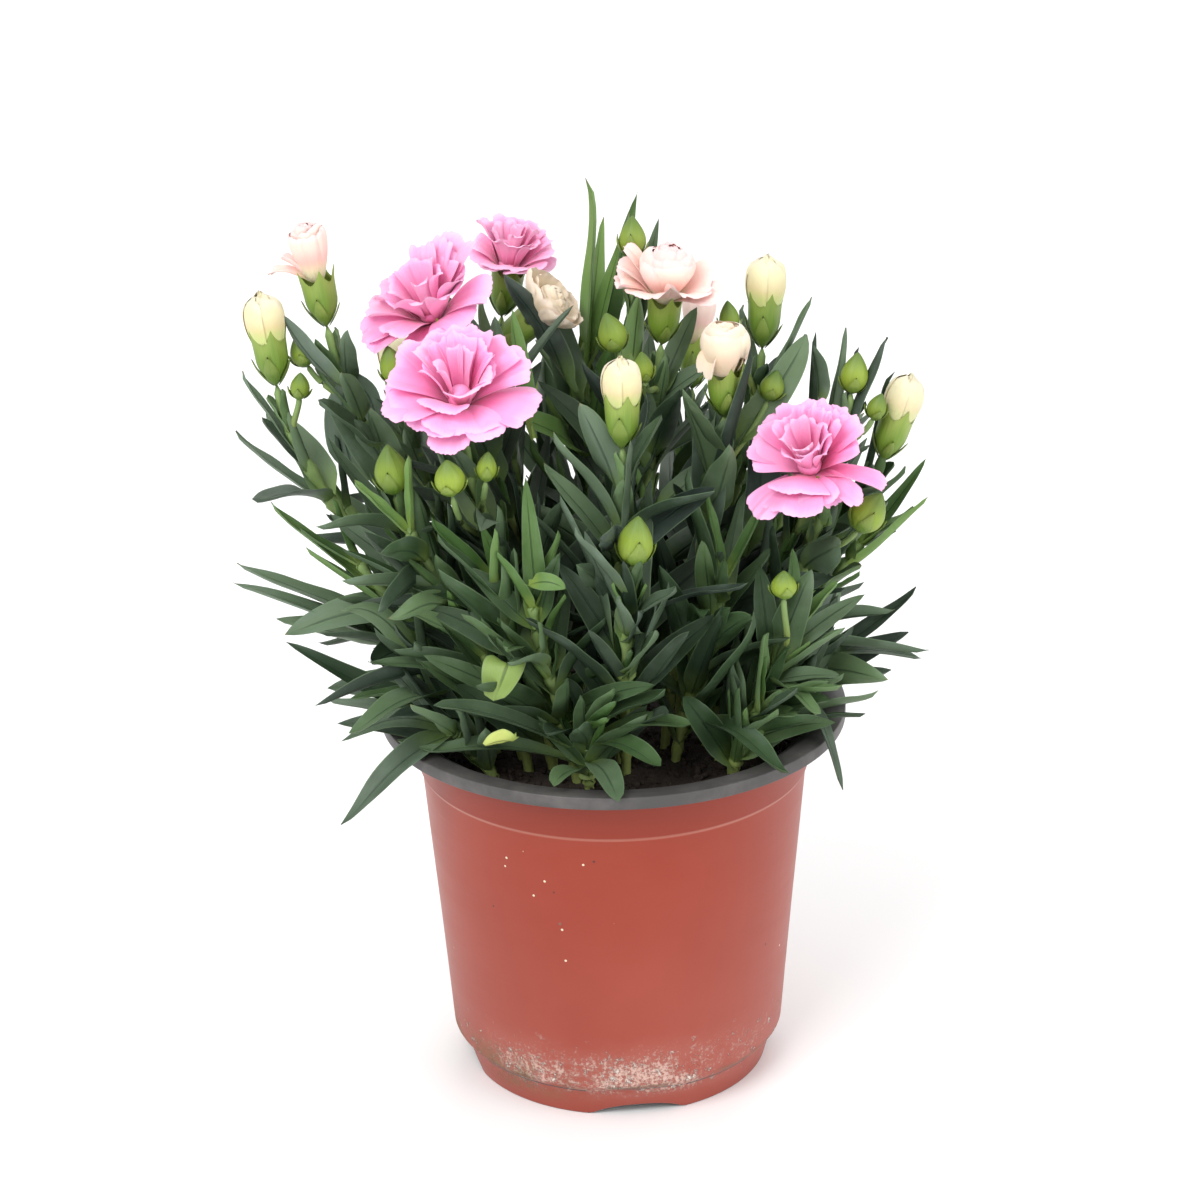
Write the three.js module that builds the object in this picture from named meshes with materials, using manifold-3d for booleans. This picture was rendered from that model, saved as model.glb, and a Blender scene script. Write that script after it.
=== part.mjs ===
// A potted carnation: a two-colour nursery pot full of peat, and a bushy plant in bud and bloom.
// Millimetres, +Z up. The origin is the middle of the pot's base, on the surface that it stands on.
import * as THREE from "three";
import { mergeGeometries, mergeVertices } from "three/addons/utils/BufferGeometryUtils.js";
import Module from "manifold-3d";

const wasm = await Module();
wasm.setup();

// The pot, from the widest size down.
const rimRadius = 80;
const rimHeight = 133.3;
const lipInnerRadius = 73.4;
const lipUnderside = 129;
const stepRadius = 66.5;
const stepHeight = 111.4;
const creaseRadius = 58.2;
const creaseHeight = 13.6;
const footRadius = 52.5;
const wall = 1.3;
const potSides = 28;

// The channels under the base, each with a drain hole.
const channelCount = 4;
const channelWidth = 32;
const channelHeight = 3.6;
const channelStart = 36;
const channelTurn = -83;
const drainRadius = 4.5;
const drainDistance = 44;

// The peat, which rests on the channels' roofs.
const soilBottom = 5.3;
const soilTop = 119;
const soilPlateau = 54;
const soilEdgeDrop = 2.5;

// Stems and side branches. A path's handles are shares of its height or length.
const clearance = 0.35;
const stemRadius = 1.6;
const branchRadius = 1.1;
const stemDepth = 16;
const stemSides = 4;
const stemSteps = 5;
const stemHandles = [0.42, 0.36];
const branchHandles = [0.35, 0.4];

// Leaf blades: where along the rib they are split, how far out the rib bends and how deep the channel is.
const bladeThickness = 1.3;
const bladeStations = [0, 0.32, 0.74, 1];
const ribBend = 0.45;
const channelDepth = 0.35;

// How a crossed pair's leaves stand: angles in degrees, and lengths as shares of the stem's reach.
const pairRule = {
  from: 0.26, along: 0.6, stray: [-18, 18], open: [24, 44], openLow: 14, droop: [0.05, 0.45],
  longest: 1.1, shorten: 0.35, length: [0.88, 1.12], width: [12, 15], twist: [-75, 75],
};

// The shares of that length and width that a young shoot's pairs have.
const youngLength = 0.8;
const youngWidth = 0.65;

// The same for the short young leaves in the tuft at the end of a shoot.
const tuftRule = { at: 0.97, stray: [-15, 15], open: [12, 24], length: [0.45, 0.65], width: [6.5, 8], twist: [-10, 10] };

// Heads: the green cup that holds the petals, and the seat inside it.
const cupLength = 18;
const cupRadius = 5.9;
const seatDepth = 6;
const cupSides = 10;
const plugBottom = cupLength - seatDepth + 0.9;

// Petals stand out of the core from near its axis, a little above the cup.
const petalThickness = 1.3;
const petalRoot = 1.5;
const petalLift = 4;
const petalWave = [0.7, 1.1];

// Petals by whorl, from the outside in: how many, how far out, how far above the cup, how wide.
const openWhorls = [
  { count: 6, reach: 22.5, rise: 0, width: 22 },
  { count: 5, reach: 19, rise: 6.5, width: 20 },
  { count: 3, reach: 12.5, rise: 12, width: 17 },
];
const halfOpenWhorls = [
  { count: 6, reach: 16.5, rise: 5, width: 18 },
  { count: 5, reach: 9.5, rise: 12, width: 12 },
];
const openingWhorls = [{ count: 5, reach: 6, rise: 14, width: 8 }];

// A petal's outline from its root round its toothed edge: share of half its width, share of its reach.
const petalOutline = [
  [0, 0], [0.7, 0.56], [0.98, 0.84], [0.6, 1.02], [0.26, 0.92], [-0.12, 1.05], [-0.5, 0.94], [-0.92, 0.9], [-0.7, 0.52],
];

const flowers = {
  open: { whorls: openWhorls, core: [6.5, 13] },
  half: { whorls: halfOpenWhorls, core: [7.5, 12] },
  opening: { whorls: openingWhorls, core: [6.5, 12] },
};

// Each leafy stem: where it leaves the peat, where it ends and which way it points there.
// Its leaves stand in crossed pairs between the two heights, and reach gives their length.
// A key leaf is [place along the stem, tip x, y, z, bow, width, turn about its own rib].
// A bud is [place along the stem, foot x, y, z, axis x, y, z, radius, length].
const stems = [
  {
    name: "front_pink", root: [-18, -12], tip: [-47, -27, 238], axis: [-0.05, -0.36, 0.93],
    flower: "open", colour: "pink", size: 1, pairs: 2, reach: 62,
    leaves: [[0.62, -62, -46, 214, 0.2, 8, 0], [0.5, -36, -52, 214, 0.1, 8, 30]],
    buds: [[0.62, -51, -50, 229, -0.1, -0.2, 1, 5.2, 12], [0.72, -40, -46, 232, 0.1, -0.2, 1, 3.4, 10]],
  },
  {
    name: "left_pink", root: [-22, 2], tip: [-53, 12, 254], axis: [-0.28, -0.26, 0.92],
    flower: "open", colour: "pink", size: 1, pairs: 2, reach: 60,
    leaves: [],
    buds: [[0.75, -70, -6, 252, -0.2, -0.1, 1, 4.5, 13]],
  },
  {
    name: "back_pink", root: [-14, 18], tip: [-36, 50, 257], axis: [0.15, -0.05, 0.96],
    flower: "open", colour: "mauve", size: 0.84, pairs: 1, reach: 60,
    leaves: [],
    buds: [],
  },
  {
    name: "right_pink", root: [30, -8], tip: [69, -20, 213], axis: [-0.2, -0.5, 0.84],
    flower: "open", colour: "pink", size: 0.95, pairs: 2, reach: 58,
    leaves: [],
    buds: [[0.72, 82, -24, 204, 0.5, -0.1, 0.86, 6, 15]],
  },
  {
    name: "top_blush", root: [8, 6], tip: [18, 13, 258], axis: [0.08, -0.2, 0.98],
    flower: "half", colour: "blush", size: 1, pairs: 2, reach: 60,
    leaves: [],
    buds: [[0.8, 3, -3, 261, -0.25, -0.2, 0.95, 5, 14], [0.86, 12, -8, 252, -0.1, -0.3, 1, 3.6, 11]],
  },
  {
    name: "middle_cream", root: [-10, 8], tip: [-37, 24, 253], axis: [0.72, -0.1, 0.66],
    flower: "half", colour: "cream", size: 0.72, pairs: 1, reach: 62,
    leaves: [[0.7, -14, 4, 277, 0.05, 7, 40]],
    buds: [],
  },
  {
    name: "left_blush", root: [-34, 4], tip: [-93, 4, 269], axis: [-0.16, 0, 0.98],
    flower: "opening", colour: "blush", size: 0.95, pairs: 2, reach: 46,
    leaves: [[0.6, -95, -4, 246, 0.06, 12, 70], [0.66, -80, -6, 243, 0.04, 12, -70]],
    buds: [[0.8, -100, 2, 256, -0.35, -0.1, 0.93, 4.2, 10]],
  },
  {
    name: "left_cream", root: [-42, -4], tip: [-110, -3, 251], axis: [-0.12, 0, 0.99],
    flower: "bud", colour: "cream", size: 1, pairs: 2, reach: 46,
    leaves: [[0.7, -125, 0, 233, -0.05, 6, 0], [0.8, -121, -2, 255, -0.05, 5, 0]],
    buds: [[0.86, -102, -8, 248, 0.1, -0.2, 1, 3.4, 9]],
  },
  {
    name: "right_cream", root: [17, -8], tip: [38, -13, 241], axis: [0, -0.15, 0.99],
    flower: "bud", colour: "cream", size: 1.22, pairs: 2, reach: 58,
    leaves: [[0.62, 46, -22, 268, 0, 8, 60]],
    buds: [[0.8, 53, -6, 244, 0.3, 0, 0.95, 4.2, 10]],
  },
  {
    name: "centre_cream", root: [2, -20], tip: [4, -45, 242], axis: [0, -0.1, 1],
    flower: "bud", colour: "cream", size: 0.95, pairs: 2, reach: 60,
    leaves: [[0.66, 7, -57, 248, 0, 10, 70]],
    buds: [],
  },
  {
    name: "top_cream", root: [22, 10], tip: [52, 16, 255], axis: [0.05, 0, 1],
    flower: "bud", colour: "cream", size: 1, pairs: 2, reach: 58,
    leaves: [[0.82, 68, 12, 273, 0, 6, 30]],
    buds: [[0.85, 41, 8, 263, -0.1, -0.1, 1, 3.6, 11]],
  },
  {
    name: "edge_cream", root: [40, 4], tip: [92, 3, 219], axis: [0.3, 0, 0.95],
    flower: "bud", colour: "cream", size: 0.95, pairs: 2, reach: 44,
    leaves: [[0.8, 96, 10, 247, 0, 7, 30]],
    buds: [],
  },
  {
    name: "front_left_bud", root: [-30, -16], tip: [-70, -35, 224], axis: [-0.12, -0.1, 0.98],
    flower: "green", size: 1, pairs: 2, reach: 60,
    leaves: [[0.5, -92, -22, 238, 0.05, 9, 20]],
    buds: [],
  },
  {
    name: "front_bud", root: [4, -30], tip: [7, -61, 208], axis: [0.1, -0.15, 0.98],
    flower: "green", size: 1, pairs: 2, reach: 56,
    leaves: [[0.55, -16, -46, 226, 0.12, 12, 60], [0.5, 13, -67, 196, 0.1, 11, 60]],
    buds: [],
  },
  {
    name: "right_bud", root: [34, -1], tip: [81, 0, 244], axis: [0.15, 0, 0.98],
    flower: "green", size: 0.8, pairs: 1, reach: 50,
    leaves: [[0.7, 69, 8, 262, 0, 7, 40], [0.75, 79, 3, 265, 0, 6, 60], [0.72, 92, 6, 262, 0.05, 10, 30]],
    buds: [[0.82, 88, -4, 236, 0.3, -0.1, 0.95, 3.4, 9]],
  },
  {
    name: "back_bud", root: [0, 12], tip: [9, 27, 284], axis: [0, 0.05, 1],
    flower: "green", size: 0.8, pairs: 1, reach: 52,
    leaves: [[0.82, 18, 34, 295, 0, 6, 40], [0.7, 8, 40, 295, 0, 9, 50]],
    buds: [],
  },
  {
    name: "top_shoot", root: [-4, 20], tip: [-8, 34, 252], axis: [0, 0, 1],
    pairs: 2, reach: 60,
    leaves: [[0.8, -6, 34, 309, 0, 10, 80], [0.86, 4.5, 44, 302, 0, 9, 80], [0.9, -10, 34, 291, 0, 8, 60],
      [0.7, -19, 26, 295, 0.03, 10, 70], [0.92, -2, 38, 294, 0, 8, 60]],
    buds: [],
  },
  {
    name: "left_shoot", root: [-40, 10], tip: [-96, 5, 216], axis: [-0.45, 0, 0.9],
    pairs: 2, reach: 46,
    leaves: [],
    buds: [],
  },
  {
    name: "left_young_shoot", root: [-38, -14], tip: [-85, -14, 192], axis: [-0.5, -0.1, 0.86],
    pairs: 2, reach: 50, tuft: 2,
    leaves: [[0.85, -113, -8, 211, -0.05, 7, 20], [0.72, -102, -12, 196, 0, 8, 20]],
    buds: [],
  },
  {
    name: "left_low_shoot", root: [-46, 2], tip: [-80, 0, 166], axis: [-0.8, 0, 0.6],
    pairs: 2, reach: 54,
    leaves: [[0.9, -126, -4, 188, -0.02, 9, -25], [0.7, -127, -13, 184, 0.02, 10, -25], [0.6, -100, -14, 168, 0.15, 9, 0]],
    buds: [],
  },
  {
    name: "left_front_shoot", root: [-44, -20], tip: [-66, -24, 156], axis: [-0.75, -0.1, 0.65],
    pairs: 2, reach: 58,
    leaves: [[0.6, -110, -20, 165, -0.12, 10, -20], [0.95, -90, -30, 180, 0.5, 8, 0]],
    buds: [],
  },
  {
    name: "rim_shoot", root: [-38, -30], tip: [-56, -38, 140], axis: [-0.7, -0.3, 0.6],
    pairs: 2, reach: 52,
    leaves: [[0.9, -91, -60, 116, 0.22, 11, -25], [0.8, -94, -16, 130, 0.12, 9, -20], [0.95, -92, -27, 131, 0.35, 7, -20],
      [0.6, -72, -43, 136, 0.12, 8, 0]],
    buds: [],
  },
  {
    name: "young_shoot", root: [-28, -26], tip: [-66, -42, 214], axis: [-0.35, -0.1, 0.93],
    pairs: 2, reach: 58, tuft: 2,
    leaves: [],
    buds: [],
  },
  {
    name: "front_left_shoot", root: [-20, -28], tip: [-38, -48, 196], axis: [-0.25, -0.2, 0.94],
    pairs: 2, reach: 56, tuft: 2,
    leaves: [[0.5, -56, -58, 206, 0.15, 12, 50], [0.62, -47, -57, 216, 0.1, 8, 40]],
    buds: [],
  },
  {
    name: "upright_shoot", root: [-12, -34], tip: [-26, -50, 190], axis: [-0.1, -0.05, 1],
    pairs: 2, reach: 50, tuft: 2,
    leaves: [[0.85, -27, -52, 234, 0, 8, 60], [0.8, -15, -56, 195, 0.2, 8, 0]],
    buds: [],
  },
  {
    name: "rosette", root: [-8, -42], tip: [-8, -46, 144], axis: [0.15, -0.2, 0.97],
    pairs: 0, reach: 40, tuft: 4,
    leaves: [[0.7, -59, -56, 157, 0.12, 10, 0], [0.62, 1, -85, 134.5, 0.2, 10, 0], [0.5, -20, -79, 137, 0.2, 9, 0],
      [0.8, 15, -68, 139, 0.25, 10, 0], [0.85, 25, -62, 151, 0.2, 9, 0], [0.95, 17, -58, 162, 0.1, 9, 0],
      [0.6, -65, -47, 138, 0.14, 9, 0]],
    buds: [],
  },
  {
    name: "front_right_shoot", root: [20, -20], tip: [37, -31, 190], axis: [0.1, -0.15, 0.98],
    pairs: 2, reach: 56, tuft: 2,
    leaves: [[0.5, 29, -61, 188, 0.5, 9, 0], [0.55, 17, -52, 201, 0.05, 10, 60], [0.35, 46, -52, 187, -0.15, 11, 40],
      [0.8, 26, -32, 229, 0.05, 10, 50],
      [0.3, 62, -68, 138, 0.22, 13, 0]],
    buds: [],
  },
  {
    name: "right_young_shoot", root: [34, -20], tip: [59, -36, 172], axis: [0.2, -0.1, 0.97],
    pairs: 2, reach: 54, tuft: 2,
    leaves: [[0.75, 65, -48, 199, 0.1, 12, 60]],
    buds: [[0.85, 56, -47, 190, 0, -0.1, 1, 4.5, 9]],
  },
  {
    name: "right_rim_shoot", root: [38, -32], tip: [49, -41, 150], axis: [0.3, -0.2, 0.93],
    pairs: 1, reach: 44, tuft: 2,
    leaves: [[0.8, 62, -48, 146, 0.3, 9, 0]],
    buds: [],
  },
  {
    name: "right_low_shoot", root: [50, 2], tip: [76, 0, 152], axis: [0.75, 0, 0.65],
    pairs: 2, reach: 46,
    leaves: [[0.9, 105, -8, 150, 0.15, 8, 20], [0.7, 102, 6, 154, -0.05, 11, 20],
      [0.8, 104, 0, 173, -0.05, 8, 20]],
    buds: [],
  },
  {
    name: "right_side_shoot", root: [50, -12], tip: [63, -16, 139], axis: [0.6, -0.1, 0.8],
    pairs: 1, reach: 48,
    leaves: [[0.9, 76, -52, 122, 0.55, 7, 0], [0.6, 80, -42, 138, 0.1, 6, 0]],
    buds: [],
  },
  {
    name: "right_upper_shoot", root: [44, 12], tip: [86, 8, 188], axis: [0.5, 0, 0.87],
    pairs: 1, reach: 46, tuft: 2,
    leaves: [[0.85, 107, 0, 206, -0.1, 6, 10], [0.95, 107, 10, 216, -0.08, 6, 10]],
    buds: [],
  },
  {
    name: "back_left_bud", root: [-30, 24], tip: [-70, 46, 222], axis: [-0.15, 0.2, 0.97],
    flower: "bud", colour: "cream", size: 0.9, pairs: 1, reach: 62,
    leaves: [],
    buds: [],
  },
  {
    name: "back_middle_bud", root: [-8, 34], tip: [-22, 76, 210], axis: [-0.05, 0.3, 0.95],
    flower: "green", size: 1, pairs: 1, reach: 60,
    leaves: [],
    buds: [],
  },
  {
    name: "back_right_blush", root: [14, 32], tip: [30, 72, 222], axis: [0.1, 0.3, 0.95],
    flower: "opening", colour: "blush", size: 0.9, pairs: 2, reach: 60,
    leaves: [],
    buds: [],
  },
  {
    name: "back_right_bud", root: [32, 26], tip: [69, 50, 206], axis: [0.2, 0.2, 0.96],
    flower: "green", size: 0.9, pairs: 1, reach: 58,
    leaves: [],
    buds: [],
  },
  {
    name: "back_left_shoot", root: [-40, 26], tip: [-64, 48, 160], axis: [-0.6, 0.4, 0.7],
    pairs: 2, reach: 62,
    leaves: [],
    buds: [],
  },
  {
    name: "back_shoot", root: [0, 48], tip: [2, 76, 164], axis: [0, 0.6, 0.8],
    pairs: 2, reach: 62,
    leaves: [],
    buds: [],
  },
  {
    name: "back_right_shoot", root: [38, 32], tip: [62, 54, 160], axis: [0.6, 0.4, 0.7],
    pairs: 2, reach: 60,
    leaves: [],
    buds: [],
  },
  {
    name: "centre_shoot", root: [-2, 28], tip: [-6, 50, 222], axis: [-0.05, 0.2, 0.98],
    pairs: 2, reach: 62, tuft: 2,
    leaves: [[0.8, -23, 24, 262, 0.02, 13, 75]],
    buds: [],
  },
];

// Small turns, in degrees about the upright and up or down, that a leaf tries until it hangs clear.
const bends = [[0, 0]];
for (const turn of [6, 12, 19, 27, 36]) {
  bends.push([turn, 0], [-turn, 0], [0, turn * 0.6], [0, -turn * 0.6], [turn, turn * 0.5], [-turn, turn * 0.5]);
  bends.push([turn, -turn * 0.5], [-turn, -turn * 0.5]);
}

const up = new THREE.Vector3(0, 0, 1);

// The minimal standard generator, so that every draw is the same on every run.
function seeded(seed) {
  let state = seed;
  return (low, high) => {
    state = (16807 * state) % 2147483647;
    return low + ((high - low) * state) / 2147483647;
  };
}

function vector(values) {
  return new THREE.Vector3(...values);
}

// A closed mesh as a solid: its corners are shared and its collapsed triangles left out.
function solid(geometry) {
  const bare = new THREE.BufferGeometry();
  bare.setAttribute("position", geometry.getAttribute("position"));
  bare.setIndex(geometry.getIndex());
  const merged = mergeVertices(bare, 1e-3);
  const corners = merged.getIndex().array;
  const triVerts = [];
  for (let i = 0; i < corners.length; i += 3) {
    const [a, b, c] = [corners[i], corners[i + 1], corners[i + 2]];
    if (a !== b && b !== c && c !== a) triVerts.push(a, b, c);
  }
  const vertProperties = merged.getAttribute("position").array;
  return new wasm.Manifold(new wasm.Mesh({ numProp: 3, vertProperties, triVerts: new Uint32Array(triVerts) }));
}

// A fused solid as a named mesh of its own colour.
function piece(name, body, colour, roughness) {
  const made = body.getMesh();
  const geometry = new THREE.BufferGeometry();
  geometry.setAttribute("position", new THREE.BufferAttribute(new Float32Array(made.vertProperties), 3));
  geometry.setIndex(new THREE.BufferAttribute(new Uint32Array(made.triVerts), 1));
  geometry.computeVertexNormals();
  const mesh = new THREE.Mesh(geometry, new THREE.MeshStandardMaterial({ color: colour, roughness, metalness: 0 }));
  mesh.name = name;
  return mesh;
}

// A turned shape about Z, whose points a formula may move by angle.
function turned(profile, sides, move = (radius, height) => [radius, height]) {
  const geometry = new THREE.LatheGeometry(profile.map(([r, z]) => new THREE.Vector2(r, z)), sides);
  geometry.rotateX(Math.PI / 2);
  const points = geometry.getAttribute("position");
  for (let i = 0; i < points.count; i += 1) {
    const side = Math.floor(i / profile.length) % sides;
    const [radius, height] = move(...profile[i % profile.length], side, i % profile.length);
    const angle = (side / sides) * 2 * Math.PI;
    points.setXYZ(i, radius * Math.cos(angle), radius * Math.sin(angle), height);
  }
  return solid(geometry);
}

// A thin sheet with a front and a back that are split alike and meet at its edge.
// place(across, along, depth) gives a point, where depth is 0 on the edge and 1 or 0 inside it.
function sheet(columns, rows, place) {
  const faces = [0, 1].map((depth) => {
    const face = new THREE.PlaneGeometry(2, 1, columns, rows);
    const points = face.getAttribute("position");
    for (let i = 0; i < points.count; i += 1) {
      const across = points.getX(i);
      const along = points.getY(i) + 0.5;
      const edge = Math.abs(across) > 0.999 || along < 0.001 || along > 0.999;
      const spot = place(across, along, edge ? 0 : depth);
      points.setXYZ(i, spot.x, spot.y, spot.z);
    }
    return face;
  });
  faces[1].getIndex().array.reverse();
  return solid(mergeGeometries(faces));
}

// The pot: a turned shell on a flat base, with drain channels pressed into its foot.
function potShell() {
  const outside = [
    [0, 0], [footRadius, 0], [creaseRadius - 1, creaseHeight - 1.4], [creaseRadius, creaseHeight],
    [stepRadius, stepHeight], [stepRadius + 0.9, stepHeight + 1.2], [stepRadius + 2.3, lipUnderside],
    [rimRadius, lipUnderside], [rimRadius, rimHeight - 0.9], [rimRadius - 1, rimHeight], [0, rimHeight],
  ];
  const inside = [
    [0, wall + 0.2], [footRadius - wall, wall + 0.2], [creaseRadius - wall, creaseHeight],
    [stepRadius - wall, stepHeight], [stepRadius + 1.1, lipUnderside + 0.5],
    [lipInnerRadius, rimHeight], [lipInnerRadius, rimHeight + 5], [0, rimHeight + 5],
  ];
  let shell = turned(outside, potSides);
  let hollow = turned(inside, potSides);
  for (let i = 0; i < channelCount; i += 1) {
    const angle = THREE.MathUtils.degToRad(channelTurn + (360 / channelCount) * i);
    shell = shell.subtract(channel(0, angle));
    hollow = hollow.subtract(channel(wall, angle));
  }
  let pot = shell.subtract(hollow);
  for (let i = 0; i < channelCount; i += 1) {
    const angle = THREE.MathUtils.degToRad(channelTurn + (360 / channelCount) * i);
    const drill = new THREE.CylinderGeometry(drainRadius, drainRadius, 2 * soilBottom, 10);
    drill.rotateX(Math.PI / 2);
    drill.translate(drainDistance * Math.cos(angle), drainDistance * Math.sin(angle), soilBottom);
    pot = pot.subtract(solid(drill));
  }
  return pot;
}

// One drain channel, grown by the wall's thickness where it shows inside the pot.
function channel(grow, angle) {
  const half = channelWidth / 2 + grow;
  const top = channelHeight + grow;
  const arch = new THREE.Shape();
  arch.moveTo(-half, -2);
  arch.lineTo(half, -2);
  arch.lineTo(half, 0);
  arch.quadraticCurveTo(half - 3, top, half - 7, top);
  arch.lineTo(-half + 7, top);
  arch.quadraticCurveTo(-half + 3, top, -half, 0);
  const depth = rimRadius - channelStart;
  const run = new THREE.ExtrudeGeometry(arch, { depth, bevelEnabled: false, curveSegments: 2 });
  run.rotateX(Math.PI / 2);
  run.rotateZ(Math.PI / 2);
  run.translate(channelStart - grow, 0, 0);
  run.rotateZ(angle);
  return solid(run);
}

// The peat: a plug that fills the pot, with a plain hole for each stem.
function peat() {
  const fit = wall + 0.45;
  const edge = stepRadius - fit + 0.4;
  const rise = (soilBottom - wall) / (creaseHeight - wall);
  const floorRadius = footRadius - fit + (creaseRadius - footRadius) * rise * 0.75;
  const profile = [
    [0, soilBottom], [floorRadius, soilBottom], [creaseRadius - fit, creaseHeight + 1],
    [edge, soilTop - soilEdgeDrop], [soilPlateau, soilTop], [0, soilTop],
  ];
  let body = turned(profile, potSides);
  for (const stem of stems) {
    const hole = tube(stemPath(stem, 1.2 * clearance), stemRadius + 1.5 * clearance, stemSides, stemSteps);
    body = body.subtract(hole);
  }
  return body;
}

// A stem's path: straight up out of the peat, then leaning over to point along its axis.
function stemPath(stem, drop = 0) {
  const tip = vector(stem.tip);
  const foot = new THREE.Vector3(stem.root[0], stem.root[1], soilTop - stemDepth);
  const rise = tip.z - foot.z;
  const first = foot.clone().addScaledVector(up, stemHandles[0] * rise);
  const second = tip.clone().addScaledVector(vector(stem.axis).normalize(), -stemHandles[1] * rise);
  foot.z -= drop;
  return new THREE.CubicBezierCurve3(foot, first, second, tip);
}

// A side branch's path, from its stem's own direction to the bud's axis.
function branchPath(path, at, tip, axis) {
  const start = path.getPoint(at);
  const length = start.distanceTo(tip);
  const first = start.clone().addScaledVector(path.getTangent(at), branchHandles[0] * length);
  const second = tip.clone().addScaledVector(axis, -branchHandles[1] * length);
  return new THREE.CubicBezierCurve3(start, first, second, tip);
}

function tube(path, radius, sides, steps) {
  const ring = [];
  for (let i = 0; i < sides; i += 1) {
    const angle = (i / sides) * 2 * Math.PI;
    ring.push(new THREE.Vector2(radius * Math.cos(angle), radius * Math.sin(angle)));
  }
  const options = { steps, extrudePath: path, bevelEnabled: false };
  return solid(new THREE.ExtrudeGeometry(new THREE.Shape(ring), options));
}

// A solid made about the origin, stood on a place along an axis and scaled.
function stood(body, place, axis, scale) {
  const turn = new THREE.Quaternion().setFromUnitVectors(up, axis);
  const matrix = new THREE.Matrix4().compose(place, turn, new THREE.Vector3(scale, scale, scale));
  return body.transform(matrix.elements);
}

// The green cup under the petals: five teeth round a hollow seat.
function cup() {
  const profile = [[0, -1], [3.2, 1.5], [5.4, 8], [cupRadius, cupLength], [0, cupLength - seatDepth]];
  const rim = 3;
  return turned(profile, cupSides, (radius, height, side, row) => {
    if (row !== rim) return [radius, height];
    return side % 2 ? [radius - 0.5, height - 2.2] : [radius, height + 1.6];
  });
}

// A closed green bud: a pointed egg with five faint ribs.
function greenBud(radius, length) {
  const profile = [[0, -1], [radius * 0.72, length * 0.14], [radius, length * 0.45], [radius * 0.62, length * 0.8], [0, length]];
  return turned(profile, 5);
}

// The furled petals of a bud that shows its colour: a twisted cone with a lobed top.
function furledPetals() {
  const profile = [
    [0, plugBottom], [3.5, cupLength + 0.2], [5.7, cupLength + 4.8], [6.2, cupLength + 9.5],
    [3.2, cupLength + 13.2], [0, cupLength + 12],
  ];
  return turned(profile, cupSides, (radius, height, side, row) => {
    if (row < 2 || radius === 0) return [radius, height];
    const fold = (side + row) % 2 ? 0.86 : 1.06;
    return [radius * fold, height + (side % 2 ? 0 : 0.8)];
  });
}

// The core of a bloom: a plug in the cup's seat, and a dome that the petals stand out of.
function bloomCore([radius, rise]) {
  const profile = [
    [0, plugBottom], [3.4, cupLength - 0.4], [3.6, cupLength + 3], [radius, cupLength + rise * 0.6],
    [0, cupLength + rise],
  ];
  return turned(profile, 8);
}

// One petal: a dished fan from a point in the core to a waved, toothed edge.
function petal(whorl, turn, wave) {
  const out = new THREE.Vector3(Math.cos(turn), Math.sin(turn), 0);
  const aside = new THREE.Vector3(Math.sin(turn), -Math.cos(turn), 0);
  const spot = (across, far, lift) => {
    const rise = whorl.rise * (0.35 + 0.65 * Math.sin((far * Math.PI) / 2));
    const place = out.clone().multiplyScalar(petalRoot + whorl.reach * far);
    place.addScaledVector(up, cupLength + petalLift + rise + lift);
    return place.addScaledVector(aside, (across * whorl.width) / 2);
  };
  const rim = petalOutline.map(([across, far], i) => spot(across, far, i ? wave * far * (i % 2 ? 1 : -1) : 0));
  const faces = [0.5, -0.5].map((side) => {
    const face = new THREE.CircleGeometry(1, rim.length);
    const points = face.getAttribute("position");
    const middle = spot(0, 0.55, side * petalThickness - 0.6);
    [middle, ...rim, rim[0]].forEach((place, i) => points.setXYZ(i, place.x, place.y, place.z));
    return face;
  });
  faces[1].getIndex().array.reverse();
  return solid(mergeGeometries(faces));
}

// An open or opening flower: its core with all its whorls of petals.
function bloom(kind, seed) {
  const random = seeded(seed);
  let body = bloomCore(kind.core);
  for (const whorl of kind.whorls) {
    const start = random(0, 360);
    for (let i = 0; i < whorl.count; i += 1) {
      const turn = THREE.MathUtils.degToRad(start + (360 * i) / whorl.count);
      body = body.add(petal(whorl, turn, random(...petalWave)));
    }
  }
  return body;
}

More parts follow.
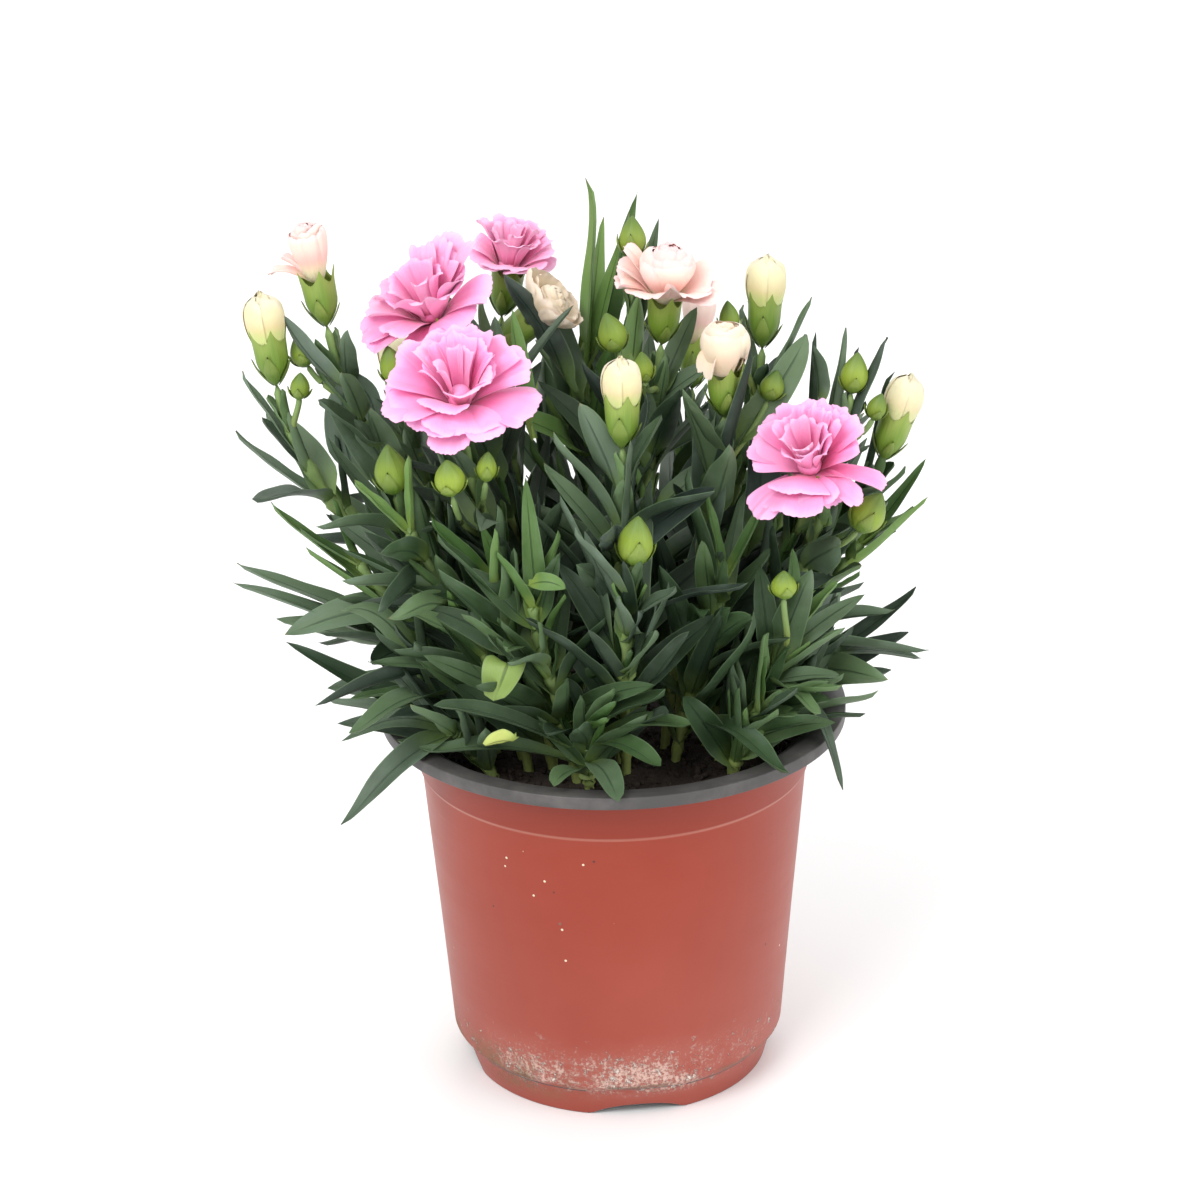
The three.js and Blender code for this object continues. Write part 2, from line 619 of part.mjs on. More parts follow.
// The leaves that a stem carries, as ribs from the stem to a tip, before any is bent clear.
function leafPlans(stem, path, seed) {
  const random = seeded(seed);
  const plans = stem.leaves.map(([at, x, y, z, bow, width, turn]) => {
    const root = path.getPoint(at);
    const tip = new THREE.Vector3(x, y, z);
    const span = tip.clone().sub(root);
    const middle = root.clone().addScaledVector(span, ribBend).addScaledVector(up, bow * span.length());
    return { key: true, root, tangent: path.getTangent(at), middle, tip, width, turn, twist: 0 };
  });
  const addPlan = (at, around, open, droop, length, width, twist) => {
    const root = path.getPoint(at);
    const tangent = path.getTangent(at);
    const ahead = new THREE.Vector3(1, 0, 0).addScaledVector(tangent, -tangent.x).normalize();
    const out = ahead.applyAxisAngle(tangent, THREE.MathUtils.degToRad(around));
    const lean = THREE.MathUtils.degToRad(open);
    const start = tangent.clone().multiplyScalar(Math.cos(lean)).addScaledVector(out, Math.sin(lean));
    const middle = root.clone().addScaledVector(start, ribBend * length);
    const tip = root.clone().addScaledVector(start.clone().addScaledVector(up, -droop).normalize(), length);
    plans.push({ key: false, root, tangent, middle, tip, width, turn: 0, twist });
  };
  const turn = random(0, 90);
  for (let pair = 0; pair < stem.pairs; pair += 1) {
    const at = pairRule.from + (pairRule.along * (pair + 0.5)) / stem.pairs;
    for (const side of [0, 180]) {
      const around = turn + 90 * pair + side + random(...pairRule.stray);
      const open = random(...pairRule.open) + pairRule.openLow * (1 - at);
      const droop = random(...pairRule.droop);
      const full = stem.reach * (pairRule.longest - pairRule.shorten * at) * random(...pairRule.length);
      const length = full * (stem.tuft ? youngLength : 1);
      const width = random(...pairRule.width) * (stem.tuft ? youngWidth : 1);
      addPlan(at, around, open, droop, length, width, random(...pairRule.twist));
    }
  }
  for (let i = 0; i < (stem.tuft ?? 0); i += 1) {
    const around = turn + (360 / stem.tuft) * i + random(...tuftRule.stray);
    const open = random(...tuftRule.open);
    const length = stem.reach * random(...tuftRule.length);
    addPlan(tuftRule.at, around, open, 0, length, random(...tuftRule.width), random(...tuftRule.twist));
  }
  return plans;
}

// A plan with its rib turned about the upright and then up or down, about its own root.
function bent(plan, [turn, raise]) {
  const swing = (point) => {
    const arm = point.clone().sub(plan.root).applyAxisAngle(up, THREE.MathUtils.degToRad(turn));
    const level = new THREE.Vector3(arm.y, -arm.x, 0).normalize();
    return arm.applyAxisAngle(level, THREE.MathUtils.degToRad(raise)).add(plan.root);
  };
  return { ...plan, middle: swing(plan.middle), tip: swing(plan.tip) };
}

// A leaf blade on its rib: a strap that is channelled above and keeled below, with a short tip.
function blade(plan, start = 0) {
  const rib = new THREE.QuadraticBezierCurve3(plan.root, plan.middle, plan.tip);
  const level = plan.tip.clone().sub(plan.root).cross(plan.tangent).normalize();
  return sheet(2, bladeStations.length - 1, (across, along, depth) => {
    const far = start + (1 - start) * bladeStations[Math.round(along * (bladeStations.length - 1))];
    const heading = rib.getTangent(far);
    const angle = THREE.MathUtils.degToRad((plan.turn + plan.twist) * Math.min(2.5 * far, 1));
    const side = level.clone().applyAxisAngle(heading, angle);
    const face = side.clone().cross(heading).normalize();
    const half = (plan.width / 2) * bladeWidth(far);
    const spot = rib.getPoint(far).addScaledVector(side, across * half);
    return spot.addScaledVector(face, Math.abs(across) * half * channelDepth - depth * bladeThickness);
  });
}

// The share of a blade's full width at a place along it.
function bladeWidth(far) {
  return Math.min(3 * far, 1) * Math.max(1 - far ** 3.2, 0) ** 0.9;
}

function boxesApart(a, b) {
  return [0, 1, 2].some((i) => a.min[i] > b.max[i] + clearance || b.min[i] > a.max[i] + clearance);
}

// Everything already in place: each solid with its box, its node and, for a blade, its outer part.
const placed = [];

function keep(node, body, outer = body) {
  placed.push({ node, body, outer, box: body.boundingBox() });
}

function standsClear(node, body, outer) {
  const box = body.boundingBox();
  return placed.every((other) => {
    if (boxesApart(box, other.box)) return true;
    if (other.node !== node) return body.minGap(other.body, clearance * 2) >= clearance;
    return other.outer === other.body || outer.minGap(other.outer, clearance * 2) >= clearance;
  });
}

const potBody = potShell();
keep("pot", potBody);

// Stems, their side branches and heads come first, so that the leaves can be bent clear of them.
const grown = stems.map((stem, number) => {
  const node = `stem_${stem.name}`;
  const path = stemPath(stem);
  const axis = vector(stem.axis).normalize();
  const parts = [tube(path, stemRadius, stemSides, stemSteps)];
  for (const [at, x, y, z, ax, ay, az, radius, length] of stem.buds) {
    const foot = new THREE.Vector3(x, y, z);
    const lean = new THREE.Vector3(ax, ay, az).normalize();
    parts.push(tube(branchPath(path, at, foot, lean), branchRadius, 3, 2));
    parts.push(stood(greenBud(radius, length), foot, lean, 1));
  }
  const petals = [];
  if (stem.flower === "green") {
    parts.push(stood(greenBud(6, 17), path.v3, axis, stem.size));
  } else if (stem.flower) {
    parts.push(stood(cup(), path.v3, axis, 1));
    const furled = stem.flower === "bud";
    const shape = furled ? furledPetals() : bloom(flowers[stem.flower], 100 + number);
    const seat = axis.clone().multiplyScalar((1 - stem.size) * plugBottom);
    petals.push(stood(shape, path.v3.clone().add(seat), axis, stem.size));
  }
  parts.forEach((part) => keep(node, part));
  petals.forEach((part) => keep(`petals_${stem.name}`, part));
  return { stem, node, path, parts, petals, plans: leafPlans(stem, path, 1000 + 37 * number) };
});

// Key leaves come next, then the crossed pairs, each at the first bend that hangs clear.
for (const key of [true, false]) {
  for (const { node, parts, plans } of grown) {
    for (const plan of plans.filter((one) => one.key === key)) {
      for (const bend of bends) {
        const tried = bent(plan, bend);
        const body = blade(tried);
        const outer = blade(tried, 0.25);
        if (standsClear(node, body, outer)) {
          keep(node, body, outer);
          parts.push(body);
          break;
        }
      }
    }
  }
}

const soil = peat();
const petalColours = { pink: "#f08cc0", mauve: "#d67bb0", blush: "#f7d3d3", cream: "#f3ead0" };

const plant = new THREE.Group();
plant.name = "potted_carnation";
plant.add(piece("pot", potBody, "#b34d3c", 0.55));
plant.add(piece("soil", soil, "#2b211b", 0.95));
for (const { stem, node, parts, petals } of grown) {
  const fused = parts.reduce((sum, part) => sum.add(part));
  plant.add(piece(node, fused, stem.tuft ? "#4f7a45" : "#335347", 0.6));
  for (const body of petals) {
    plant.add(piece(`petals_${stem.name}`, body, petalColours[stem.colour], 0.7));
  }
}

export default plant;
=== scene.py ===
import math

import bmesh
import bpy
from mathutils import Matrix, Quaternion, Vector, noise
from mathutils.kdtree import KDTree


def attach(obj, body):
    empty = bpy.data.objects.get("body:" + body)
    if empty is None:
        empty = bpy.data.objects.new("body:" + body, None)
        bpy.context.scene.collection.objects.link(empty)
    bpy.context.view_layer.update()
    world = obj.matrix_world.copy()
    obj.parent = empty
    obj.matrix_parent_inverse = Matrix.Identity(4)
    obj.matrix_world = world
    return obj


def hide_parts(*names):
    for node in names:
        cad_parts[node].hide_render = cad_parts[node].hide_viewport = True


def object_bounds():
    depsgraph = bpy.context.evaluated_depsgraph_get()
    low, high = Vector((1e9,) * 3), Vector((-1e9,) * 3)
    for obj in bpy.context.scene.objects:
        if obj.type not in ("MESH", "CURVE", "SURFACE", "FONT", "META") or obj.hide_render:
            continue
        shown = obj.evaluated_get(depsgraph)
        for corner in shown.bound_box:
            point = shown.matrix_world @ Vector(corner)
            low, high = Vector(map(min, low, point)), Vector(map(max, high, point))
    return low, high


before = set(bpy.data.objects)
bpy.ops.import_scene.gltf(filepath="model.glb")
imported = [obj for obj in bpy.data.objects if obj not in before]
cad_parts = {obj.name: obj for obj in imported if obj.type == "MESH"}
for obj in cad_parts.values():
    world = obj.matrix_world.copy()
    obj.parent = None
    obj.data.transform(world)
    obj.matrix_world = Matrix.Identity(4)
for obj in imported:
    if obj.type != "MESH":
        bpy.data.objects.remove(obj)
cad_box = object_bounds()

MM = 0.001
UP = Vector((0, 0, 1))

# The pot, from the widest size down, and the peat in it.
RIM_RADIUS = 80
RIM_HEIGHT = 133.3
LIP_INNER_RADIUS = 73.4
LIP_UNDERSIDE = 129
STEP_RADIUS = 66.5
STEP_HEIGHT = 111.4
WALL_SPOTS = ((60, 36), (62, 60), (64.4, 87))
CREASE_RADIUS = 58.2
CREASE_HEIGHT = 13.6
FOOT_RADIUS = 52.5
BASE_RADII = (12, 24, 33, 35, 36, 37, 38, 40, 43, 46, 49)
WALL = 1.3
CORNER_RADIUS = 0.45
POT_SIDES = 180
CHANNEL_COUNT = 4
CHANNEL_HALF_WIDTH = 16
CHANNEL_HEIGHT = 3.6
CHANNEL_START = 36
CHANNEL_TURN = -83
DRAIN_RADIUS = 4.5
DRAIN_DISTANCE = 44
DRAIN_MIDDLE = 3.2
DRAIN_DEPTH = 8
DRAIN_SIDES = 32
SOIL_BOTTOM = 5.3
SOIL_TOP = 119
SOIL_SIDES = 110
SOIL_RINGS = 44
CRUMB_COUNT = 1500

# Stems, cups and blades.
STEM_RADIUS = 1.6
BRANCH_RADIUS = 1.1
STEM_DEPTH = 16
STEM_HANDLES = (0.42, 0.36)
BRANCH_HANDLES = (0.35, 0.4)
RIB_BEND = 0.45
CHANNEL_DEPTH = 0.35
KEY_TAPER = 3.2
SOFT_WIDTH = 0.86
BOTH_SIDES = (0, 180)
SCALE_COUNT = 4
CUP_SCALES = 12
GREEN_BUD_RADIUS = 6
GREEN_BUD_LENGTH = 17
CUP_LENGTH = 18
CUP_RADIUS = 5.9
SEAT_DEPTH = 6
PLUG_BOTTOM = CUP_LENGTH - SEAT_DEPTH + 0.9

# The share of a cup's skin, from its foot, that is outside, and the height of furled petals.
CUP_FOLD = 0.62
FURLED_RISE = 18.4

# The rings of furled petals, from the outer one in: their count, width and how much higher they stand.
FURLED_RINGS = ((5, 1, 0), (4, 0.78, 0.7), (3, 0.56, 1.1), (3, 0.35, 1.3), (2, 0.15, 1.2))

# Where a head's middle is above its cup's foot, and how far from it extra leaves keep, by its kind.
HEAD_MIDDLE = 20
HEAD_REACH = dict(open=27, half=20, opening=13, bud=11, green=10)

# How far to each side extra leaves reach, at a height and per height above it, and how high they reach.
SPREAD_LOW = 84
SPREAD_HEIGHT = 170
SPREAD_GAIN = 0.25
SPREAD_TOP = 275

# Points this close to each other are joined, a bent leaf's tip counts as found this close to a corner,
# and an edge that turns by more than this angle is sharp.
WELD = 0.002
SAME_POINT = 0.05
SHARP_EDGE = math.radians(75)

# How a crossed pair's leaves and a tuft's stand, as in the part's source.
PAIR_RULE = dict(
    start=0.26, along=0.6, stray=(-18, 18), open=(24, 44), open_low=14, droop=(0.05, 0.45),
    longest=1.1, shorten=0.35, length=(0.88, 1.12), width=(12, 15), twist=(-75, 75),
)
TUFT_RULE = dict(
    at=0.97, stray=(-15, 15), open=(12, 24), length=(0.45, 0.65), width=(6.5, 8), twist=(-10, 10),
)
YOUNG_LENGTH = 0.8
YOUNG_WIDTH = 0.65
TURNS_TRIED = (6, 12, 19, 27, 36)

# The first seed of each kind of random draws and its step from stem to stem. Leaves and blooms draw as the
# source does.
SEEDS = dict(
    leaves=(1000, 37), extras=(5000, 53), stem=(8000, 71), bloom=(100, 1), petals=(7100, 1),
    furled=(300, 1), crumbs=(909, 0),
)

# How many columns and rows of faces the grid of each form has.
GRIDS = dict(
    leaf=(6, 16), stem=(10, 44), branch=(8, 14), cup=(40, 22), scale=(6, 8), bud=(30, 18), petal=(32, 12),
    furled=(18, 12), heart=(12, 10),
)

# Each finish's place in a foliage piece's list.
LEAF, STALK, CUP, BUD = range(4)

# The skins of cups and buds: where their colours end, and those at the foot, in the middle and at the tip.
GREEN_SKINS = (
    ("cup_skin", CUP_FOLD, (0.13, 0.20, 0.045), (0.21, 0.33, 0.035), (0.36, 0.46, 0.09)),
    ("bud_skin", 1, (0.22, 0.31, 0.05), (0.30, 0.40, 0.04), (0.14, 0.22, 0.035)),
)

# The colours of petals: deep, middle, edge, claw, and the pale one of young petals. The deep colour is
# partly painted shade, the edge partly painted highlight, and the dark claws of pink and mauve painted
# shade.
PETAL_TINTS = dict(
    pink=((0.92, 0.19, 0.44), (0.98, 0.37, 0.66), (0.99, 0.54, 0.85), (0.5, 0.06, 0.16), (0.99, 0.6, 0.76)),
    mauve=((0.86, 0.22, 0.44), (0.95, 0.4, 0.64), (0.97, 0.56, 0.8), (0.45, 0.07, 0.16), (0.96, 0.58, 0.7)),
    blush=((0.92, 0.5, 0.44), (0.92, 0.7, 0.6), (0.92, 0.69, 0.68), (0.8, 0.72, 0.44), (0.93, 0.58, 0.6)),
    cream=((0.7, 0.58, 0.3), (0.76, 0.7, 0.43), (0.8, 0.73, 0.56), (0.56, 0.64, 0.22), (0.78, 0.72, 0.42)),
    beige=((0.76, 0.54, 0.36), (0.84, 0.7, 0.5), (0.86, 0.74, 0.62), (0.66, 0.52, 0.3), (0.86, 0.66, 0.46)),
)

# The studio, in metres: each light's name, place, size and power.
LIGHT_TARGET = Vector((0, 0, 0.16))
LIGHTS = (
    ("key_light", (-0.9, -1.3, 1.7), 1.2, 31),
    ("fill_light", (1.5, -0.9, 0.9), 1.4, 13),
    ("back_light", (0.3, 1.6, 1.4), 1.4, 13),
)
AIR_STRENGTH = 0.88

# The camera stands where the photograph was taken from.
CAMERA_RISE = 0.3851
CAMERA_DISTANCE = 1200
CAMERA_TARGET = Vector((-3.94, 0, 170.28))
CAMERA_ROLL = -0.0168
FOCAL_PIXELS = 3523.08
IMAGE_PIXELS = 1200
SENSOR = 36


def table(fields, rows):
    """Each row as a dictionary: its values by the fields' names, and from its end what few rows state."""
    return [dict(zip(fields, row), **row[-1]) for row in rows]


# Petals by whorl. The first whorls of a form repeat the source, and the extras fill its middle.
# Scroll is how far a petal's sides roll up, roll how far it tilts about its rib, and hug how far it wraps
# round the axis. Tuck draws its tip in, curl bends it down or up, crest shapes its rib, and pleats fold it.
# Mouth is how far from the axis it leaves the cup, and youth pales it.
WHORL_FIELDS = ("count", "reach", "rise", "width", "scroll", "roll", "curl", "mouth")
HALF_WHORLS = table(WHORL_FIELDS, [
    (6, 15, 3, 17, (0.1, 0.8), 0.35, -1, 4.7, {}),
    (5, 10.8, 10.5, 20, (0.3, 0.3), 0, 0, 4, dict(hug=1, tuck=0.5, crest=(1.2, 0.6))),
])
HALF_EXTRAS = table(WHORL_FIELDS, [
    (4, 9.8, 12.3, 18, (0.3, 0.5), 0, 0, 3.4,
     dict(hug=1, tuck=0.7, crest=(1.25, 0.85), stray=15, youth=0.4)),
    (4, 7.8, 13.2, 14, (0.3, 0.7), 0.1, 0, 2.6,
     dict(hug=1, tuck=0.85, crest=(1.25, 0.98), stray=30, youth=0.7)),
    (4, 4.5, 13.8, 11, (0.3, 0.7), 0.2, 0, 1.4,
     dict(hug=1, tuck=1.25, crest=(1.3, 1), stray=40, youth=0.9)),
])
GOBLET_WHORLS = table(WHORL_FIELDS, [
    (6, 16.5, 12.5, 27, (0.2, 0.4), 0.1, 0, 4.7, dict(hug=0.85, crest=(1.05, 0.4), pleats=0.35)),
    (5, 13.5, 13, 20, (0.3, 0.6), 0.2, 0, 3.6, dict(hug=0.8, tuck=0.1, crest=(1, 0.7), pleats=0.4)),
])
PEELING_WHORLS = table(WHORL_FIELDS, [
    (3, 6.2, 5.6, 28, (0.2, 0.3), 0, 0.5, 7, dict(hug=1, tuck=0.4, crest=(1.0, 0.35), stray=12)),
    (3, 5.6, 6.8, 24, (0.2, 0.4), 0, 0, 6.2, dict(hug=1, tuck=0.6, crest=(1.05, 0.5), stray=12)),
    (3, 4.2, 7.2, 12, (0.2, 0.5), 0, 0, 2.8,
     dict(hug=1, tuck=0.8, crest=(1.15, 0.7), stray=25, youth=0.5)),
    (4, 3, 7.4, 10, (0.3, 0.7), 0.2, 0, 1.4,
     dict(hug=1, tuck=1.3, crest=(1.2, 0.9), stray=30, youth=0.8)),
])
OPENING_WHORLS = table(WHORL_FIELDS, [
    (5, 6.4, 11.5, 15, (0.2, 0.5), 0.1, 0.8, 4.5, dict(hug=1, tuck=0.25, crest=(1.05, 0.6))),
])
OPENING_EXTRAS = table(WHORL_FIELDS, [
    (4, 5.5, 13, 13, (0.2, 0.5), 0, 0, 3.2, dict(hug=1, tuck=0.55, crest=(1.15, 0.9), stray=15)),
    (3, 4.2, 13.8, 10, (0.4, 0.8), 0.2, 0, 1.8,
     dict(hug=1, tuck=0.85, crest=(1.2, 1), stray=30, youth=0.5)),
    (4, 3, 14, 9, (0.3, 0.6), 0.2, 0, 1.2, dict(hug=1, tuck=1.35, crest=(1.3, 1), stray=30, youth=0.9)),
])

# The whorls and extras of each form. Open flowers have single petals alone.
FLOWERS = dict(
    open=([], []), half=(HALF_WHORLS, HALF_EXTRAS), opening=(OPENING_WHORLS, OPENING_EXTRAS),
    goblet=(GOBLET_WHORLS, HALF_EXTRAS), peeling=([], PEELING_WHORLS),
)

# The closed heart under the innermost petals of each form: its radius and its top above the cup's foot.
HEARTS = dict(
    open=(4.2, 23), half=(5, 35.8), goblet=(4.5, 32), opening=(3.6, 36.3), peeling=(3.8, 30),
    bud=(3.2, 31.4),
)

# Petals that stand apart in the photograph, one by one. A petal is
# [way it points in degrees, reach, rise, width, scroll, curl, pleats, youth].
PETAL_FIELDS = ("turn", "reach", "rise", "width", "scroll", "curl", "pleats", "youth")
SINGLE_PETALS = dict(
    front_pink=[
        [188, 26, 1, 21, -0.2, -4, 0.2, 0], [162, 23, 5, 22, 0.3, -2, 0.2, 0],
        [132, 20, 8, 22, 0.4, 0, 0.4, 0], [96, 17, 11, 20, 0.2, 0, 1.0, 0.1],
        [66, 16, 11.5, 17, 0.7, 0, 0.2, 0], [40, 20, 8, 20, 0.3, -1, 0.8, 0],
        [12, 22, 5, 19, 0.4, -2, 0.8, 0], [-20, 25, 1.5, 24, -0.3, -5, 0.2, 0],
        [-52, 22, 0, 22, -0.2, -5, 0.2, 0], [-88, 19, 0.5, 24, 0.1, -3, 0.2, 0],
        [-124, 20, 1, 22, -0.2, -3, 0.3, 0], [-102, 21, -4, 15, -0.1, -6, 0.2, 0.2],
        [-152, 21, 2, 21, 0.2, -3, 0.3, 0], [148, 14, 11, 11, 1.3, 0, 0.1, 1],
        [-62, 11.5, 7.5, 21, 0.9, 0, 0.1, 0.5], [-112, 14, 5, 19, 0.3, -1, 0.3, 0.1],
        [112, 10, 11.5, 14, 0.5, 0, 0.8, 0], [78, 10, 12.5, 12, 0.9, 0, 0.3, 0.2],
        [24, 11, 10.5, 14, 0.5, 0, 0.8, 0], [175, 10, 9.5, 14, 0.7, 0, 0.3, 0.1],
        [45, 5, 12, 7, 1.2, 0, 0.1, 0.6], [100, 4, 12.5, 8, 1.3, 0, 0.1, 0.3],
        [-20, 12, 8.5, 14, 0.8, 0, 0.3, 0.1], [-170, 5, 10.5, 8, 1.2, 0, 0.1, 0.7]],
    left_pink=[
        [192, 24, 0.5, 15, 0.3, -2, 0.1, 0], [-152, 23, -0.5, 16, 0.2, -3, 0.1, 0],
        [175, 19, 3.5, 12, 1.1, 0, 0.1, 1], [162, 15.5, 4.5, 12, 1.2, 0, 0.1, 0.9],
        [140, 12.5, 4.5, 18, 0.8, 0, 0.2, 0.5], [108, 9.5, 7.5, 17, 0.7, 0, 0.2, 0.5],
        [72, 12, 14.5, 11, 0.4, 1, 0.7, 0.8], [52, 17, 15, 12, 0.4, 0, 0.6, 0.7],
        [34, 21, 12.5, 19, 0.3, -1, 0.3, 0.6], [-8, 21, 2, 24, 0.2, -2, 0.2, 0],
        [-104, 21, -2, 17, 0.1, -5, 0.1, 0], [-58, 16, 0, 22, 0.2, -3, 0.2, 0],
        [-130, 18, 1.5, 18, 0.2, -2, 0.2, 0.2], [14, 14, 9, 21, 0.8, 0, 0.2, 0.4],
        [-14, 15, 7, 19, 0.7, 0, 0.2, 0.4], [42, 12, 10.5, 19, 0.8, 0, 0.2, 0.4],
        [-40, 13, 6, 18, 0.8, 0, 0.1, 0.6], [-100, 8, 6.5, 9, 1.2, -1, 0.1, 1],
        [-76, 3.5, 12, 9, 1.3, 0, 0.1, 1], [122, 7, 11.5, 10, 0.9, 0, 0.2, 0.5],
        [-150, 10, 7, 15, 0.9, 0, 0.1, 0.5], [178, 9, 9.5, 14, 0.8, 0, 0.2, 0.4],
        [60, 6, 12.5, 12, 1.0, 0, 0.2, 0.4], [0, 7, 11.5, 12, 1.1, 0, 0.2, 0.4]],
    right_pink=[
        [148, 20, 4, 24, 0.6, 1, 0, 0], [166, 18, 3, 21, 0.5, 1, 0.1, 0.2],
        [114, 17, 7, 23, 0.4, 0, 0.1, 0], [84, 17.5, 7.5, 21, 0.3, 0, 0.2, 0],
        [56, 18, 7, 20, 0.2, 0, 0.7, 0], [28, 18.5, 6, 20, 0.3, 0, 0.9, 0],
        [4, 18, 4.5, 20, 0.5, 0, 0.4, 0], [66, 12, 11.5, 15, 0.3, 0, 1.0, 0.1],
        [34, 12, 10.5, 14, 0.4, 0, 1.0, 0.1], [122, 11, 11, 13, 0.5, 0, 0.5, 0.1],
        [-98, 4, 12.5, 10, 1.1, 0, 0.1, 1], [152, 6, 11, 10, 0.9, 0, 0.1, 0.5],
        [44, 6.5, 12, 8, 1.0, 0, 0.1, 0.3], [92, 5.5, 13.5, 8, 0.9, 0, 0.1, 0.5],
        [8, 8, 10, 9, 0.9, 0, 0.1, 0.2], [-50, 22, -3, 9, 1.1, -7, 0, 0.2],
        [-30, 26, -1.5, 8, 1.3, -7, 0, 0.2], [-66, 17, -2, 11, 0.2, -5, 0.1, 0],
        [-110, 14, 3, 22, -0.3, -2, 0.1, 0.1], [-116, 20, -1, 25, -0.1, -5, 0.1, 0],
        [-146, 25, -3, 14, -0.2, -6, 0.7, 0.1], [-84, 17, -2, 16, 0, -4, 0.1, 0],
        [-70, 5, 9, 12, 0.9, 0, 0.1, 0.4], [-125, 6, 8, 13, 0.8, 0, 0.1, 0.2],
        [-20, 7, 8, 12, 0.8, 0, 0.1, 0.2]],
    back_pink=[
        [2, 17, 6, 20, 0.3, -1, 0.3, 0], [-28, 17, 1, 22, 0.1, -3, 0.2, 0],
        [-62, 15, 1.5, 20, 0.2, -3, 0.2, 0], [-100, 14, 2, 20, 0.1, -3, 0.2, 0],
        [-140, 15, 2, 20, 0.2, -3, 0.2, 0], [176, 15, 5, 18, 0.3, -2, 0.3, 0],
        [156, 15, 12, 9, 0.5, 0, 0.1, 0], [120, 12, 12, 18, 0.3, 0, 0.4, 0],
        [88, 9, 14, 20, 0.3, 0, 0.5, 0.1], [56, 13, 12, 18, 0.3, 0, 0.4, 0],
        [28, 15, 9, 18, 0.3, 0, 0.4, 0], [-80, 8, 8, 15, 0.7, 0, 0.3, 0.2],
        [-30, 9, 8, 15, 0.7, 0, 0.3, 0.1], [20, 8, 11, 13, 0.8, 0, 0.5, 0.2],
        [75, 5, 12.5, 11, 0.9, 0, 0.3, 0.3], [130, 7, 11, 13, 0.8, 0, 0.4, 0.1],
        [-150, 8, 8, 14, 0.7, 0, 0.3, 0.1], [170, 7, 10, 12, 0.8, 0, 0.3, 0.2],
        [-60, 3, 11, 8, 1.2, 0, 0.1, 0.6], [60, 3, 11.5, 8, 1.2, 0, 0.1, 0.4]],
    left_blush=[
        [178, 10, 2, 8, 1.3, 3, 0, 0.3], [170, 15, 0.5, 6, 0.4, -2, 0, 0.2]],
    top_blush=[
        [-22, 19, 2, 19, 0.1, -1, 0.1, 0.6], [160, 15, 8, 8, 0.7, 2, 0, 0], [176, 15, 4, 9, 0.7, 1, 0, 0],
        [-170, 16, 1, 9, 0.5, 0, 0, 0]],
    right_cream=[
        [-132, 6, 2.5, 9, 1.3, -9, 0, 0]],
)

# Single leaves that the photograph shows beside the crossed pairs, with the stem that each one hangs on.
# Youth goes from 0 in an old leaf to 1 in a young one, and on to 2 in a yellowed one.
ODD_FIELDS = ("stem", "root", "middle", "tip", "width", "turn", "youth")
ODD_LEAVES = table(ODD_FIELDS, [
    ("front_left_shoot", (-35, -54, 168), (-32, -64, 180), (-39, -63, 161), 15, 0, 1.3, dict(blunt=True)),
    ("centre_shoot", (-12, 21, 238), (-19, 16, 262), (-34, 12, 283), 9, 60, 0, {}),
    ("left_blush", (-80, 4, 204), (-93, 2, 230), (-87, 2, 249), 13, 85, 0, dict(blunt=True)),
    ("left_blush", (-88, 5, 240), (-80, 3, 257), (-76, 0, 228), 11, 85, 0, {}),
    ("left_blush", (-85, -2, 248), (-98, -4, 257), (-107, -4, 275), 7, 60, 0, {}),
    ("right_bud", (40, -8, 226), (56, -6, 245), (66, 0, 264), 11, 75, 0.3, {}),
    ("right_bud", (71, -2, 238), (71, 0, 249), (68, 0, 260), 7, 80, 0.2, {}),
    ("right_pink", (46, 0, 185), (54, 0, 215), (50, 2, 242), 13, 85, 0, {}),
    ("centre_shoot", (-10, 28, 232), (-15, 27, 252), (-20, 26, 274), 11, 85, 0.1, {}),
    ("back_pink", (-38, 24, 225), (-41, 26, 250), (-42, 28, 270), 9, 80, 0.4, {}),
    ("front_pink", (-26, -4, 230), (-29, -4, 254), (-31, -2, 275), 8, 80, 1, {}),
    ("front_pink", (-35, 0, 238), (-37, 0, 256), (-37, 0, 272), 7, 80, 0.1, {}),
    ("rosette", (-32, -62, 147), (-37, -65, 149), (-43, -65, 147), 7, 65, 2, {}),
    ("upright_shoot", (-27, -55, 198), (-21, -60, 203), (-15, -61, 199), 6, 60, 0.9, {}),
])

